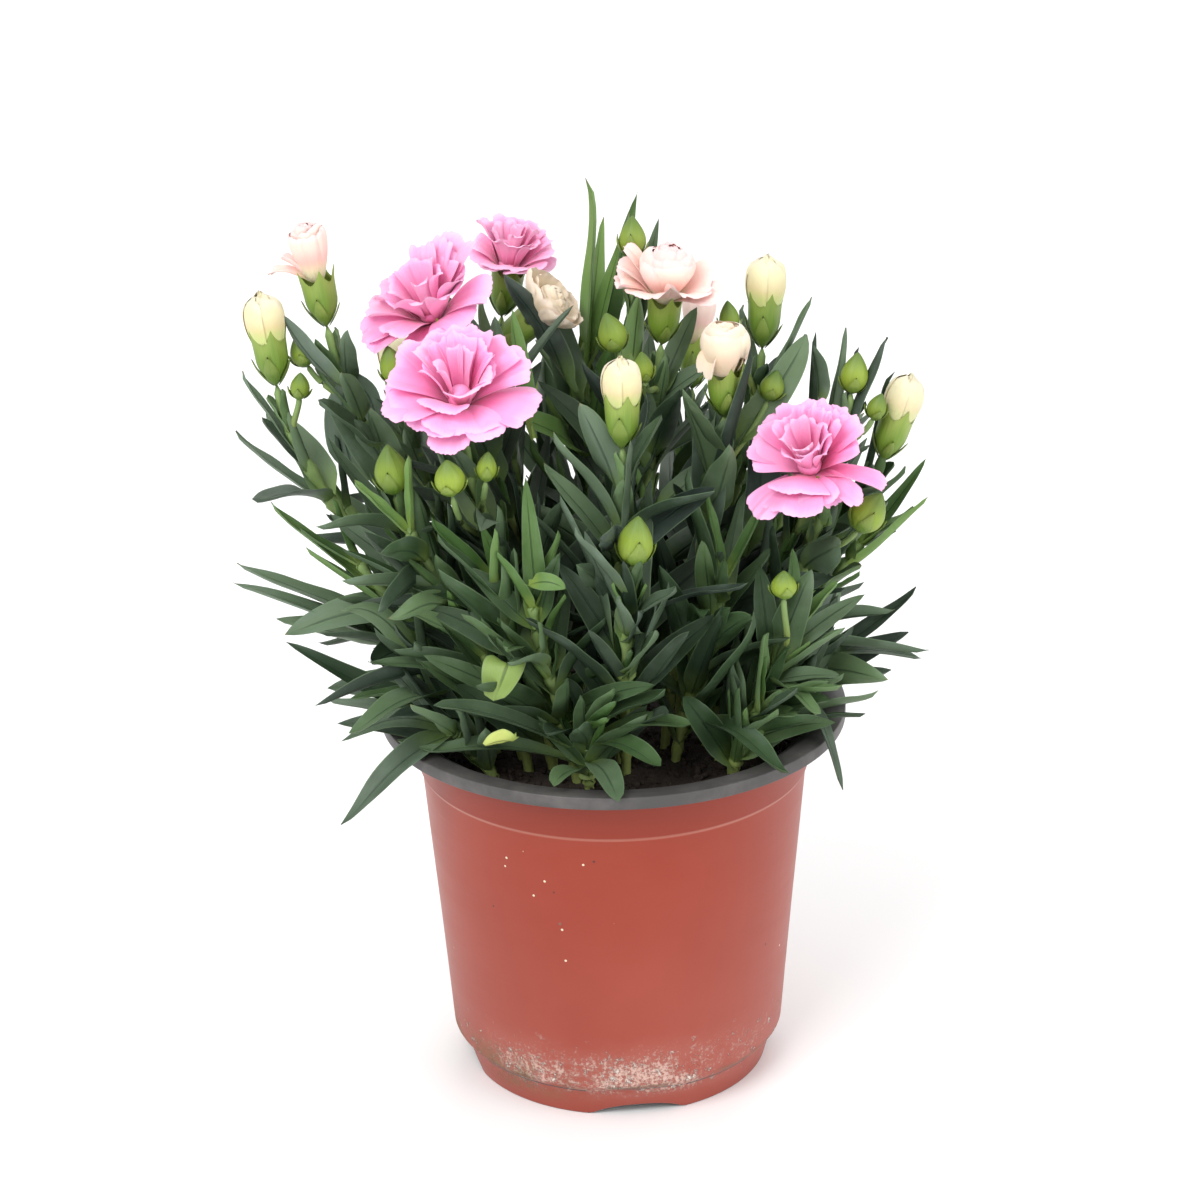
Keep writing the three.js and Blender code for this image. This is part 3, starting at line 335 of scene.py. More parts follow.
# Each leafy stem, as in the part's source: its root, tip and axis, how many crossed pairs it has and how
# long its leaves are, then its flower, its key leaves and its side buds.
# A key leaf is [place along the stem, tip x, y, z, bow, width, turn about its own rib].
# A bud is [place along the stem, foot x, y, z, axis x, y, z, radius, length].
STEM_FIELDS = ("name", "root", "tip", "axis", "pairs", "reach")
STEMS = table(STEM_FIELDS, [
    ("front_pink", (-18, -12), (-47, -27, 238), (-0.05, -0.36, 0.93), 2, 62,
     dict(flower="open", colour="pink", size=1,
          leaves=[[0.62, -62, -46, 214, 0.2, 8, 0], [0.5, -36, -52, 214, 0.1, 8, 30]],
          buds=[[0.62, -51, -50, 229, -0.1, -0.2, 1, 5.2, 12],
                [0.72, -40, -46, 232, 0.1, -0.2, 1, 3.4, 10]])),
    ("left_pink", (-22, 2), (-53, 12, 254), (-0.28, -0.26, 0.92), 2, 60,
     dict(flower="open", colour="pink", size=1, buds=[[0.75, -70, -6, 252, -0.2, -0.1, 1, 4.5, 13]])),
    ("back_pink", (-14, 18), (-36, 50, 257), (0.15, -0.05, 0.96), 1, 60,
     dict(flower="open", colour="mauve", size=0.84)),
    ("right_pink", (30, -8), (69, -20, 213), (-0.2, -0.5, 0.84), 2, 58,
     dict(flower="open", colour="pink", size=0.95, buds=[[0.72, 82, -24, 204, 0.5, -0.1, 0.86, 6, 15]])),
    ("top_blush", (8, 6), (18, 13, 258), (0.08, -0.2, 0.98), 2, 60,
     dict(flower="half", colour="blush", size=1,
          buds=[[0.8, 3, -3, 261, -0.25, -0.2, 0.95, 5, 14], [0.86, 12, -8, 252, -0.1, -0.3, 1, 3.6, 11]])),
    ("middle_cream", (-10, 8), (-37, 24, 253), (0.72, -0.1, 0.66), 1, 62,
     dict(flower="half", form="goblet", colour="cream", tint="beige", size=0.72,
          leaves=[[0.7, -14, 4, 277, 0.05, 7, 40]])),
    ("left_blush", (-34, 4), (-93, 4, 269), (-0.16, 0, 0.98), 2, 46,
     dict(flower="opening", colour="blush", size=0.95,
          leaves=[[0.6, -95, -4, 246, 0.06, 12, 70], [0.66, -80, -6, 243, 0.04, 12, -70]],
          buds=[[0.8, -100, 2, 256, -0.35, -0.1, 0.93, 4.2, 10]])),
    ("left_cream", (-42, -4), (-110, -3, 251), (-0.12, 0, 0.99), 2, 46,
     dict(flower="bud", colour="cream", size=1,
          leaves=[[0.7, -125, 0, 233, -0.05, 6, 0], [0.8, -121, -2, 255, -0.05, 5, 0]],
          buds=[[0.86, -102, -8, 248, 0.1, -0.2, 1, 3.4, 9]])),
    ("right_cream", (17, -8), (38, -13, 241), (0, -0.15, 0.99), 2, 58,
     dict(flower="bud", form="peeling", colour="cream", tint="beige", size=1.22,
          leaves=[[0.62, 46, -22, 268, 0, 8, 60]], buds=[[0.8, 53, -6, 244, 0.3, 0, 0.95, 4.2, 10]])),
    ("centre_cream", (2, -20), (4, -45, 242), (0, -0.1, 1), 2, 60,
     dict(flower="bud", colour="cream", size=0.95, leaves=[[0.66, 7, -57, 248, 0, 10, 70]])),
    ("top_cream", (22, 10), (52, 16, 255), (0.05, 0, 1), 2, 58,
     dict(flower="bud", colour="cream", size=1, leaves=[[0.82, 68, 12, 273, 0, 6, 30]],
          buds=[[0.85, 41, 8, 263, -0.1, -0.1, 1, 3.6, 11]])),
    ("edge_cream", (40, 4), (92, 3, 219), (0.3, 0, 0.95), 2, 44,
     dict(flower="bud", colour="cream", size=0.95, leaves=[[0.8, 96, 10, 247, 0, 7, 30]])),
    ("front_left_bud", (-30, -16), (-70, -35, 224), (-0.12, -0.1, 0.98), 2, 60,
     dict(flower="green", size=1, leaves=[[0.5, -92, -22, 238, 0.05, 9, 20]])),
    ("front_bud", (4, -30), (7, -61, 208), (0.1, -0.15, 0.98), 2, 56,
     dict(flower="green", size=1,
          leaves=[[0.55, -16, -46, 226, 0.12, 12, 60], [0.5, 13, -67, 196, 0.1, 11, 60]])),
    ("right_bud", (34, -1), (81, 0, 244), (0.15, 0, 0.98), 1, 50,
     dict(flower="green", size=0.8,
          leaves=[[0.7, 69, 8, 262, 0, 7, 40], [0.75, 79, 3, 265, 0, 6, 60],
                  [0.72, 92, 6, 262, 0.05, 10, 30]],
          buds=[[0.82, 88, -4, 236, 0.3, -0.1, 0.95, 3.4, 9]])),
    ("back_bud", (0, 12), (9, 27, 284), (0, 0.05, 1), 1, 52,
     dict(flower="green", size=0.8, leaves=[[0.82, 18, 34, 295, 0, 6, 40], [0.7, 8, 40, 295, 0, 9, 50]])),
    ("top_shoot", (-4, 20), (-8, 34, 252), (0, 0, 1), 2, 60,
     dict(fresh=0.85,
          leaves=[[0.8, -6, 34, 309, 0, 10, 80], [0.86, 4.5, 44, 302, 0, 9, 80],
                  [0.9, -10, 34, 291, 0, 8, 60], [0.7, -19, 26, 295, 0.03, 10, 70],
                  [0.92, -2, 38, 294, 0, 8, 60]])),
    ("left_shoot", (-40, 10), (-96, 5, 216), (-0.45, 0, 0.9), 2, 46, {}),
    ("left_young_shoot", (-38, -14), (-85, -14, 192), (-0.5, -0.1, 0.86), 2, 50,
     dict(tuft=2, leaves=[[0.85, -113, -8, 211, -0.05, 7, 20], [0.72, -102, -12, 196, 0, 8, 20]])),
    ("left_low_shoot", (-46, 2), (-80, 0, 166), (-0.8, 0, 0.6), 2, 54,
     dict(leaves=[[0.9, -126, -4, 188, -0.02, 9, -25], [0.7, -127, -13, 184, 0.02, 10, -25],
                  [0.6, -100, -14, 168, 0.15, 9, 0]])),
    ("left_front_shoot", (-44, -20), (-66, -24, 156), (-0.75, -0.1, 0.65), 2, 58,
     dict(leaves=[[0.6, -110, -20, 165, -0.12, 10, -20], [0.95, -90, -30, 180, 0.5, 8, 0]])),
    ("rim_shoot", (-38, -30), (-56, -38, 140), (-0.7, -0.3, 0.6), 2, 52,
     dict(leaves=[[0.9, -91, -60, 116, 0.22, 11, -25], [0.8, -94, -16, 130, 0.12, 9, -20],
                  [0.95, -92, -27, 131, 0.35, 7, -20], [0.6, -72, -43, 136, 0.12, 8, 0]])),
    ("young_shoot", (-28, -26), (-66, -42, 214), (-0.35, -0.1, 0.93), 2, 58, dict(tuft=2)),
    ("front_left_shoot", (-20, -28), (-38, -48, 196), (-0.25, -0.2, 0.94), 2, 56,
     dict(tuft=2, leaves=[[0.5, -56, -58, 206, 0.15, 12, 50], [0.62, -47, -57, 216, 0.1, 8, 40]])),
    ("upright_shoot", (-12, -34), (-26, -50, 190), (-0.1, -0.05, 1), 2, 50,
     dict(tuft=2, leaves=[[0.85, -27, -52, 234, 0, 8, 60], [0.8, -15, -56, 195, 0.2, 8, 0]])),
    ("rosette", (-8, -42), (-8, -46, 144), (0.15, -0.2, 0.97), 0, 40,
     dict(blunt=True, tuft=4,
          leaves=[[0.7, -59, -56, 157, 0.12, 10, 0], [0.62, 1, -85, 134.5, 0.2, 10, 0],
                  [0.5, -20, -79, 137, 0.2, 9, 0], [0.8, 15, -68, 139, 0.25, 10, 0],
                  [0.85, 25, -62, 151, 0.2, 9, 0], [0.95, 17, -58, 162, 0.1, 9, 0],
                  [0.6, -65, -47, 138, 0.14, 9, 0]])),
    ("front_right_shoot", (20, -20), (37, -31, 190), (0.1, -0.15, 0.98), 2, 56,
     dict(tuft=2,
          leaves=[[0.5, 29, -61, 188, 0.5, 9, 0], [0.55, 17, -52, 201, 0.05, 10, 60],
                  [0.35, 46, -52, 187, -0.15, 11, 40], [0.8, 26, -32, 229, 0.05, 10, 50],
                  [0.3, 62, -68, 138, 0.22, 13, 0]])),
    ("right_young_shoot", (34, -20), (59, -36, 172), (0.2, -0.1, 0.97), 2, 54,
     dict(tuft=2, leaves=[[0.75, 65, -48, 199, 0.1, 12, 60]],
          buds=[[0.85, 56, -47, 190, 0, -0.1, 1, 4.5, 9]])),
    ("right_rim_shoot", (38, -32), (49, -41, 150), (0.3, -0.2, 0.93), 1, 44,
     dict(tuft=2, leaves=[[0.8, 62, -48, 146, 0.3, 9, 0]])),
    ("right_low_shoot", (50, 2), (76, 0, 152), (0.75, 0, 0.65), 2, 46,
     dict(leaves=[[0.9, 105, -8, 150, 0.15, 8, 20], [0.7, 102, 6, 154, -0.05, 11, 20],
                  [0.8, 104, 0, 173, -0.05, 8, 20]])),
    ("right_side_shoot", (50, -12), (63, -16, 139), (0.6, -0.1, 0.8), 1, 48,
     dict(leaves=[[0.9, 76, -52, 122, 0.55, 7, 0], [0.6, 80, -42, 138, 0.1, 6, 0]])),
    ("right_upper_shoot", (44, 12), (86, 8, 188), (0.5, 0, 0.87), 1, 46,
     dict(tuft=2, leaves=[[0.85, 107, 0, 206, -0.1, 6, 10], [0.95, 107, 10, 216, -0.08, 6, 10]])),
    ("back_left_bud", (-30, 24), (-70, 46, 222), (-0.15, 0.2, 0.97), 1, 62,
     dict(flower="bud", colour="cream", size=0.9)),
    ("back_middle_bud", (-8, 34), (-22, 76, 210), (-0.05, 0.3, 0.95), 1, 60,
     dict(flower="green", size=1)),
    ("back_right_blush", (14, 32), (30, 72, 222), (0.1, 0.3, 0.95), 2, 60,
     dict(flower="opening", colour="blush", size=0.9)),
    ("back_right_bud", (32, 26), (69, 50, 206), (0.2, 0.2, 0.96), 1, 58, dict(flower="green", size=0.9)),
    ("back_left_shoot", (-40, 26), (-64, 48, 160), (-0.6, 0.4, 0.7), 2, 62, {}),
    ("back_shoot", (0, 48), (2, 76, 164), (0, 0.6, 0.8), 2, 62, {}),
    ("back_right_shoot", (38, 32), (62, 54, 160), (0.6, 0.4, 0.7), 2, 60, {}),
    ("centre_shoot", (-2, 28), (-6, 50, 222), (-0.05, 0.2, 0.98), 2, 62,
     dict(tuft=2, leaves=[[0.8, -23, 24, 262, 0.02, 13, 75]])),
])


def seeded(seed):
    """The minimal standard generator, the same as in the part's source."""
    state = seed

    def draw(low, high):
        nonlocal state
        state = (16807 * state) % 2147483647
        return low + (high - low) * state / 2147483647

    return draw


def draws(kind, number=0):
    """The random draws of a kind, for the stem with a number."""
    start, step = SEEDS[kind]
    return seeded(start + step * number)


def smooth(value, low, high):
    """Goes from 0 at low to 1 at high with a soft start and end."""
    share = min(max((value - low) / (high - low), 0), 1)
    return share * share * (3 - 2 * share)


# Curves.


def cubic(curve, at):
    a, b, c, d = curve
    rest = 1 - at
    return a * rest**3 + b * (3 * rest * rest * at) + c * (3 * rest * at * at) + d * at**3


def cubic_heading(curve, at):
    a, b, c, d = curve
    rest = 1 - at
    return ((b - a) * rest**2 + (c - b) * (2 * rest * at) + (d - c) * at**2).normalized()


def arc(rib, at):
    a, b, c = rib
    rest = 1 - at
    return a * rest**2 + b * (2 * rest * at) + c * at**2


def arc_heading(rib, at):
    a, b, c = rib
    return ((b - a) * (1 - at) + (c - b) * at).normalized()


def stem_path(stem):
    tip = Vector(stem["tip"])
    foot = Vector((*stem["root"], SOIL_TOP - STEM_DEPTH))
    rise = tip.z - foot.z
    first = foot + UP * (STEM_HANDLES[0] * rise)
    second = tip - Vector(stem["axis"]).normalized() * (STEM_HANDLES[1] * rise)
    return (foot, first, second, tip)


def branch_path(path, at, tip, axis):
    start = cubic(path, at)
    length = (tip - start).length
    first = start + cubic_heading(path, at) * (BRANCH_HANDLES[0] * length)
    return (start, first, tip - axis * (BRANCH_HANDLES[1] * length), tip)


# Meshes. Every shape starts as a grid, whose points a formula then places.


def placed(name, bm, finishes=()):
    """An object in the scene, made from a mesh in the making, which this uses up."""
    mesh = bpy.data.meshes.new(name)
    bm.to_mesh(mesh)
    bm.free()
    for finish in finishes:
        mesh.materials.append(finish)
    made = bpy.data.objects.new(name, mesh)
    bpy.context.scene.collection.objects.link(made)
    return made


class Piece:
    """One mesh in the making, with a place for its finishes, its UV map, its tone and its youth."""

    def __init__(self, name, finishes):
        self.name = name
        self.finishes = finishes
        self.bm = bmesh.new()
        self.uv = self.bm.loops.layers.uv.new("UVMap")
        self.tone = self.bm.verts.layers.float.new("tone")
        self.youth = self.bm.verts.layers.float.new("youth")

    def grid(self, columns, rows, place, finish, tone, youth=0, back=False):
        """A grid of points: place(across -1 to 1, along 0 to 1) says where each one goes."""
        made = bmesh.ops.create_grid(self.bm, x_segments=columns, y_segments=rows, size=1)
        faces = {face for vert in made["verts"] for face in vert.link_faces}
        for face in faces:
            face.material_index = finish
            face.smooth = True
            for loop in face.loops:
                loop[self.uv].uv = ((loop.vert.co.x + 1) / 2, (loop.vert.co.y + 1) / 2)
        for vert in made["verts"]:
            vert[self.tone] = tone
            vert[self.youth] = youth
            vert.co = place(vert.co.x, (vert.co.y + 1) / 2)
        if back:
            bmesh.ops.reverse_faces(self.bm, faces=list(faces))
        return made["verts"]

    def sheet(self, columns, rows, place, finish, tone, youth=0):
        """A thin leaf or petal. The depth of place is 0 in front and at the edge, and 1 behind."""
        made = []
        for depth in (0, 1):
            def spot(across, along, depth=depth):
                edge = abs(across) > 0.999 or along < 0.001 or along > 0.999
                return place(across, along, 0 if edge else depth)

            made += self.grid(columns, rows, spot, finish, tone, youth, back=depth == 1)
        bmesh.ops.remove_doubles(self.bm, verts=made, dist=WELD)

    def round(self, sides, rows, place, finish, tone):
        """A closed skin about an axis. place(angle, along) draws its ends in to a point each."""
        def spot(across, along):
            return place(math.pi * (across + 1), along)

        made = self.grid(sides, rows, spot, finish, tone)
        bmesh.ops.remove_doubles(self.bm, verts=made, dist=WELD)

    def finish(self, slot, node):
        """Ends the piece as an object in metres that rides on the pot's body and stands for a solid."""
        for edge in self.bm.edges:
            edge.smooth = edge.calc_face_angle(0) < SHARP_EDGE
        bmesh.ops.scale(self.bm, vec=(MM, MM, MM), verts=self.bm.verts)
        made = placed(self.name, self.bm, self.finishes)
        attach(made, "root")
        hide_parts(node)


def across_frame(heading):
    """Two directions square to a heading."""
    side = heading.orthogonal().normalized()
    return side, heading.cross(side)


def add_stalk(piece, path, radius, joints, grid, tone):
    """A round stem or branch, swollen where leaves join it."""

    def place(angle, along):
        centre = cubic(path, along)
        side, other = across_frame(cubic_heading(path, along))
        if along < 0.001 or along > 0.999:
            return centre
        swell = sum(0.75 * math.exp(-((along - joint) * 60) ** 2) for joint in joints)
        width = radius * (1.08 - 0.2 * along) + swell
        return centre + (side * math.cos(angle) + other * math.sin(angle)) * width

    piece.round(*grid, place, STALK, tone)


# Leaves.


def leaf_plans(stem, path, draw):
    """The leaves of a stem as ribs from the stem to a tip, by the same draws as in the part's source."""
    plans = []
    for at, *spot, bow, width, turn in stem.get("leaves", []):
        root = cubic(path, at)
        tip = Vector(spot)
        span = tip - root
        middle = root + span * RIB_BEND + UP * (bow * span.length)
        plans.append(dict(root=root, tangent=cubic_heading(path, at), middle=middle, tip=tip,
                          width=width, turn=turn, at=at, key=True))
    young = "tuft" in stem
    rule = PAIR_RULE
    turn = draw(0, 90)
    for pair in range(stem["pairs"]):
        at = rule["start"] + rule["along"] * (pair + 0.5) / stem["pairs"]
        for side in BOTH_SIDES:
            around = turn + 90 * pair + side + draw(*rule["stray"])
            lean = draw(*rule["open"]) + rule["open_low"] * (1 - at)
            droop = draw(*rule["droop"])
            length = stem["reach"] * (rule["longest"] - rule["shorten"] * at) * draw(*rule["length"])
            length *= YOUNG_LENGTH if young else 1
            width = draw(*rule["width"]) * (YOUNG_WIDTH if young else 1)
            plans.append(free_leaf(path, at, around, lean, droop, length, width, draw(*rule["twist"])))
    rule = TUFT_RULE
    for index in range(stem.get("tuft", 0)):
        around = turn + 360 / stem["tuft"] * index + draw(*rule["stray"])
        lean = draw(*rule["open"])
        length = stem["reach"] * draw(*rule["length"])
        width = draw(*rule["width"])
        plans.append(free_leaf(path, rule["at"], around, lean, 0, length, width, draw(*rule["twist"])))
    return plans


def free_leaf(path, at, around, lean, droop, length, width, twist):
    """A leaf that leaves its stem at an angle and droops by a share."""
    root = cubic(path, at)
    tangent = cubic_heading(path, at)
    ahead = (Vector((1, 0, 0)) - tangent * tangent.x).normalized()
    out = Quaternion(tangent, math.radians(around)) @ ahead
    start = tangent * math.cos(math.radians(lean)) + out * math.sin(math.radians(lean))
    tip = root + (start - UP * droop).normalized() * length
    return dict(root=root, tangent=tangent, middle=root + start * (RIB_BEND * length), tip=tip,
                width=width, turn=twist, at=at, key=False)


def bends():
    """Small turns about the upright and up or down, in the order in which the source tries them."""
    ways = ((1, 0), (-1, 0), (0, 0.6), (0, -0.6), (1, 0.5), (-1, 0.5), (1, -0.5), (-1, -0.5))
    return [(0, 0)] + [(turn * across, turn * up) for turn in TURNS_TRIED for across, up in ways]


def bent(plan, turn, lift):
    def swing(point):
        arm = Quaternion(UP, math.radians(turn)) @ (point - plan["root"])
        level = Vector((arm.y, -arm.x, 0)).normalized()
        return Quaternion(level, math.radians(lift)) @ arm + plan["root"]

    return dict(plan, middle=swing(plan["middle"]), tip=swing(plan["tip"]))


def solid_points(node):
    """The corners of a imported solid, to look a leaf's tip up in."""
    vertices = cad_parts[node].data.vertices
    tree = KDTree(len(vertices))
    for index, vertex in enumerate(vertices):
        tree.insert(vertex.co / MM, index)
    tree.balance()
    return tree


def as_built(plans, node):
    """The plans as the solid holds them: each at the bend whose tip is one of the solid's corners."""
    points = solid_points(node)
    found = []
    for plan in plans:
        for turn, lift in bends():
            tried = bent(plan, turn, lift)
            if points.find(tried["tip"])[2] < SAME_POINT:
                found.append(tried)
                break
    return found


def leaf_width(far, blunt, taper):
    """The share of a leaf's full width at a place along it: long and sharp at its tip, or blunt."""
    if blunt:
        return min(2.2 * far, 1) ** 0.8 * max(1 - far**5, 0) ** 0.55
    return min(5 * far, 1) ** 0.7 * max(1 - far**taper, 0) ** 0.85


def add_leaf(piece, plan, tone, youth, draw, blunt):
    """A leaf blade: channelled, keeled, clasping its stem, and gently waved. Soft leaves are a bit
    narrower than the source's."""
    rib = (plan["root"], plan["middle"], plan["tip"])
    level = (plan["tip"] - plan["root"]).cross(plan["tangent"]).normalized()
    length = (plan["tip"] - plan["root"]).length
    wave = draw(0.2, 0.9) * min(length / 50, 1)
    phase = draw(0, 6.28)
    ripple = draw(0.1, 0.45)
    hook = draw(-0.09, 0.03) * length
    taper = KEY_TAPER if plan.get("key") else draw(2.6, 6)
    width = plan["width"] * (1 if plan.get("key") or "youth" in plan else SOFT_WIDTH)

    def place(across, along, depth):
        far = along**0.85
        heading = arc_heading(rib, far)
        side = Quaternion(heading, math.radians(plan["turn"] * min(2.5 * far, 1))) @ level
        face = side.cross(heading).normalized()
        clasp = max(1 - far / 0.1, 0)
        half = max(width / 2 * leaf_width(far, blunt, taper), 1.9 * clasp)
        edge = math.copysign(abs(across) ** 0.75, across)
        lift = abs(edge) ** 1.35 * half * (CHANNEL_DEPTH + 0.5 * clasp)
        lift += wave * math.sin(5 * far + phase) * far
        lift += ripple * math.sin(17 * far + phase * 3) * edge * far
        lift += hook * far**3.5 * (1 - far**8)
        lift -= 0.9 * depth * (1 - edge * edge) + 0.12 * depth
        return arc(rib, far) + side * (edge * half) + face * lift

    piece.sheet(*GRIDS["leaf"], place, LEAF, tone, youth)


# Heads. A head's own Z runs along its axis, from the foot of its cup.


class Head:
    """A place and an axis for a head, which turn its own points into the plant's."""

    def __init__(self, foot, axis, size=1):
        self.foot = foot
        self.turn = UP.rotation_difference(axis)
        self.size = size

    def point(self, x, y, z):
        return self.foot + self.turn @ (Vector((x, y, z)) * self.size)

    def polar(self, radius, angle, height):
        return self.point(radius * math.cos(angle), radius * math.sin(angle), height)


def cup_radius(height):
    """The cup's radius at a height: narrow at its foot, then nearly straight."""
    share = min(max((height + 1) / (CUP_LENGTH + 1), 0), 1)
    return CUP_RADIUS * (math.sin(math.pi / 2 * min(share * 1.9, 1)) ** 0.8 * (0.86 + 0.14 * share))


def add_cup(piece, head, tone, draw):
    """The green cup: a ribbed tube with five pointed teeth, its inner wall down to the petals' seat."""
    first = draw(0, 1)

    def place(angle, along):
        tooth = 1 - abs(math.sin(2.5 * angle)) ** 0.85
        top = CUP_LENGTH - 2.8 + 5.2 * tooth
        if along < CUP_FOLD:
            height = -1 + (top + 1) * (along / CUP_FOLD)
            rib = 1 + 0.03 * math.cos(5 * angle) - 0.02 * abs(math.cos(2.5 * angle + first))
            radius = cup_radius(height) * rib
        else:
            inner = (along - CUP_FOLD) / (1 - CUP_FOLD)
            height = top - (top - CUP_LENGTH + SEAT_DEPTH) * inner
            radius = (cup_radius(height) - 0.6 * smooth(inner, 0, 0.3)) * (1 - smooth(inner, 0.85, 1))
        flare = 0.8 * tooth * smooth(height, CUP_LENGTH - 3, CUP_LENGTH + 2.4)
        return head.polar(radius + flare, angle, height)

    piece.round(*GRIDS["cup"], place, CUP, tone)


def add_scales(piece, head, tone, draw, radius_at, length):
    """The pointed scales that hug the foot of a cup or bud, in crossed pairs."""
    for index in range(SCALE_COUNT):
        middle = math.tau * index / SCALE_COUNT + draw(-0.25, 0.25)
        size = length * draw(0.75, 1.15) * (1 if index % 2 else 0.8)
        width = draw(0.62, 0.85)
        flare = draw(0.1, 0.5)

        def place(across, along, depth):
            height = -0.8 + size * along
            half = width * min(1.9 * along + 0.5, 1) * (1 - along**1.3)
            radius = radius_at(height) + 0.5 - 0.4 * depth + flare * along**3 + 0.25 * (1 - across * across)
            return head.polar(radius, middle + across * half, height)

        piece.sheet(*GRIDS["scale"], place, CUP, tone)


def bud_radius(radius, length, height):
    share = min(max((height + 1) / (length + 1), 0), 1)
    return radius * math.sin(math.pi * share**0.8) ** 0.8 * (1 - 0.1 * share)


def add_bud(piece, head, radius, length, tone, draw):
    """A closed green bud: an egg whose five teeth meet in a point."""
    seam = draw(0, 6.28)

    def place(angle, along):
        height = -1 + (length + 1) * along
        ridge = 1 - abs(math.sin(2.5 * angle + seam))
        dip = 0.05 * ridge**3 * smooth(along, 0.3, 0.6) + 0.13 * ridge**2 * smooth(along, 0.6, 0.9)
        return head.polar(bud_radius(radius, length, height) * (1 - dip), angle, height)

    piece.round(*GRIDS["bud"], place, BUD, tone)
    add_scales(piece, head, tone * 0.6, draw, lambda z: bud_radius(radius, length, z), 0.66 * length)


def add_petal(piece, head, whorl, turn, draw):
    """One petal: a narrow claw in the cup that widens to a fan with a waved and finely toothed edge."""
    reach = whorl["reach"] * draw(0.92, 1.04)
    rise = whorl["rise"] + draw(-1.2, 0.8)
    width = whorl["width"] * draw(0.86, 1.08)
    scroll = draw(*whorl["scroll"]) or 0.01
    roll = whorl["roll"] * draw(-1, 1)
    hug = whorl.get("hug", 0)
    mouth = whorl["mouth"]
    crest = whorl.get("crest", (0.8, 1.15))
    bottom = CUP_LENGTH + 4
    spots = (
        (0.55 * mouth, PLUG_BOTTOM + 2.5),
        (mouth, CUP_LENGTH + 1.5 + 0.15 * rise),
        (1.5 + crest[0] * reach, bottom + 1 + crest[1] * rise),
        (1.5 + reach * (1 - whorl.get("tuck", 0)), bottom + rise + whorl["curl"] * draw(0.2, 1.4)),
    )
    line = tuple(Vector((radius, 0, height)) for radius, height in spots)
    phases = [draw(0, 6.28) for _ in range(5)]
    wave = draw(0.5, 1.0) * (0.3 + reach / 22) * (1 - 0.7 * hug)
    pleats = whorl.get("pleats", 0.15) * draw(0.6, 1.3)
    folds = draw(8, 13)
    notch = draw(-0.6, 0.6)
    claw = min(1.15 * math.pi * mouth / whorl.get("count", 6), 3.2)

    def place(across, along, depth):
        tooth = 0.009 * math.sin(29 * across + phases[0]) + 0.006 * math.sin(47 * across + phases[1])
        dent = 0.05 * math.exp(-((across - notch) * 6) ** 2)
        far = along * (1 - 0.17 * abs(across) ** 2.8 + tooth - dent)
        spot = cubic(line, far)
        heading = cubic_heading(line, min(far, 1))
        half = claw + (width / 2 - claw) * smooth(far, 0.08, 0.8)
        bend = scroll * smooth(far, 0.1, 0.55)
        flat = across * half if abs(bend) < 0.01 else half * math.sin(bend * across) / bend
        cupped = 0 if abs(bend) < 0.01 else half * (1 - math.cos(bend * across)) / bend
        tilt = roll * smooth(far, 0.1, 0.7)
        aside = flat * math.cos(tilt) - cupped * math.sin(tilt)
        offset = flat * math.sin(tilt) + cupped * math.cos(tilt)
        ruffle = math.sin(3.4 * across + phases[2]) + 0.4 * math.sin(7.3 * across + phases[3])
        offset += wave * far**2.2 * ruffle
        offset += pleats * far**1.5 * math.sin(folds * across + phases[4]) - 0.35 * depth
        radius = spot.x - heading.z * offset
        wrap = max(hug, 1 - smooth(far, 0.1, 0.35))
        angle = turn + wrap * aside / (max(radius, 0.5) + 0.8)
        aside *= 1 - wrap
        x = radius * math.cos(angle) - aside * math.sin(turn)
        y = radius * math.sin(angle) + aside * math.cos(turn)
        return head.point(x, y, spot.z + heading.x * offset)

    piece.sheet(*GRIDS["petal"], place, 0, draw(0, 1), whorl.get("youth", 0))


def add_heart(piece, head, form):
    """A closed core, so that no one looks between the petals down into the empty cup."""
    widest, top = HEARTS[form]
    foot = PLUG_BOTTOM + 2

    def place(angle, along):
        radius = widest * math.sin(math.pi * along) ** 0.45
        return head.polar(radius, angle, foot + (top - foot) * along)

    piece.round(*GRIDS["heart"], place, 0, 0.3)


def add_bloom(piece, head, stem, form, draw, own):
    """A flower: the source's whorls at the same turns, those between, and the petals that stand apart."""
    whorls, extras = FLOWERS[form]
    for whorl in whorls:
        start = draw(0, 360)
        for index in range(whorl["count"]):
            add_petal(piece, head, whorl, math.radians(start + 360 * index / whorl["count"]), own)
            draw(0, 1)
    for whorl in extras:
        start = own(0, 360)
        for index in range(whorl["count"]):
            turn = start + 360 * index / whorl["count"] + own(-1, 1) * whorl.get("stray", 10)
            add_petal(piece, head, whorl, math.radians(turn), own)
    for row in SINGLE_PETALS.get(stem["name"], []):
        petal = dict(zip(PETAL_FIELDS, row), roll=0.2)
        petal.update(scroll=(petal["scroll"], petal["scroll"]), mouth=min(1.5 + 0.22 * petal["reach"], 4.5))
        add_petal(piece, head, petal, math.radians(petal["turn"]), own)


def furled_radius(height):
    """The outline of furled petals: a barrel that draws in at its foot and its top."""
    share = min(max((height - PLUG_BOTTOM) / FURLED_RISE, 0), 1)
    return 4.1 + 2.7 * math.sin(math.pi * share**1.1) ** 0.7 - 2.2 * smooth(share, 0.84, 1)


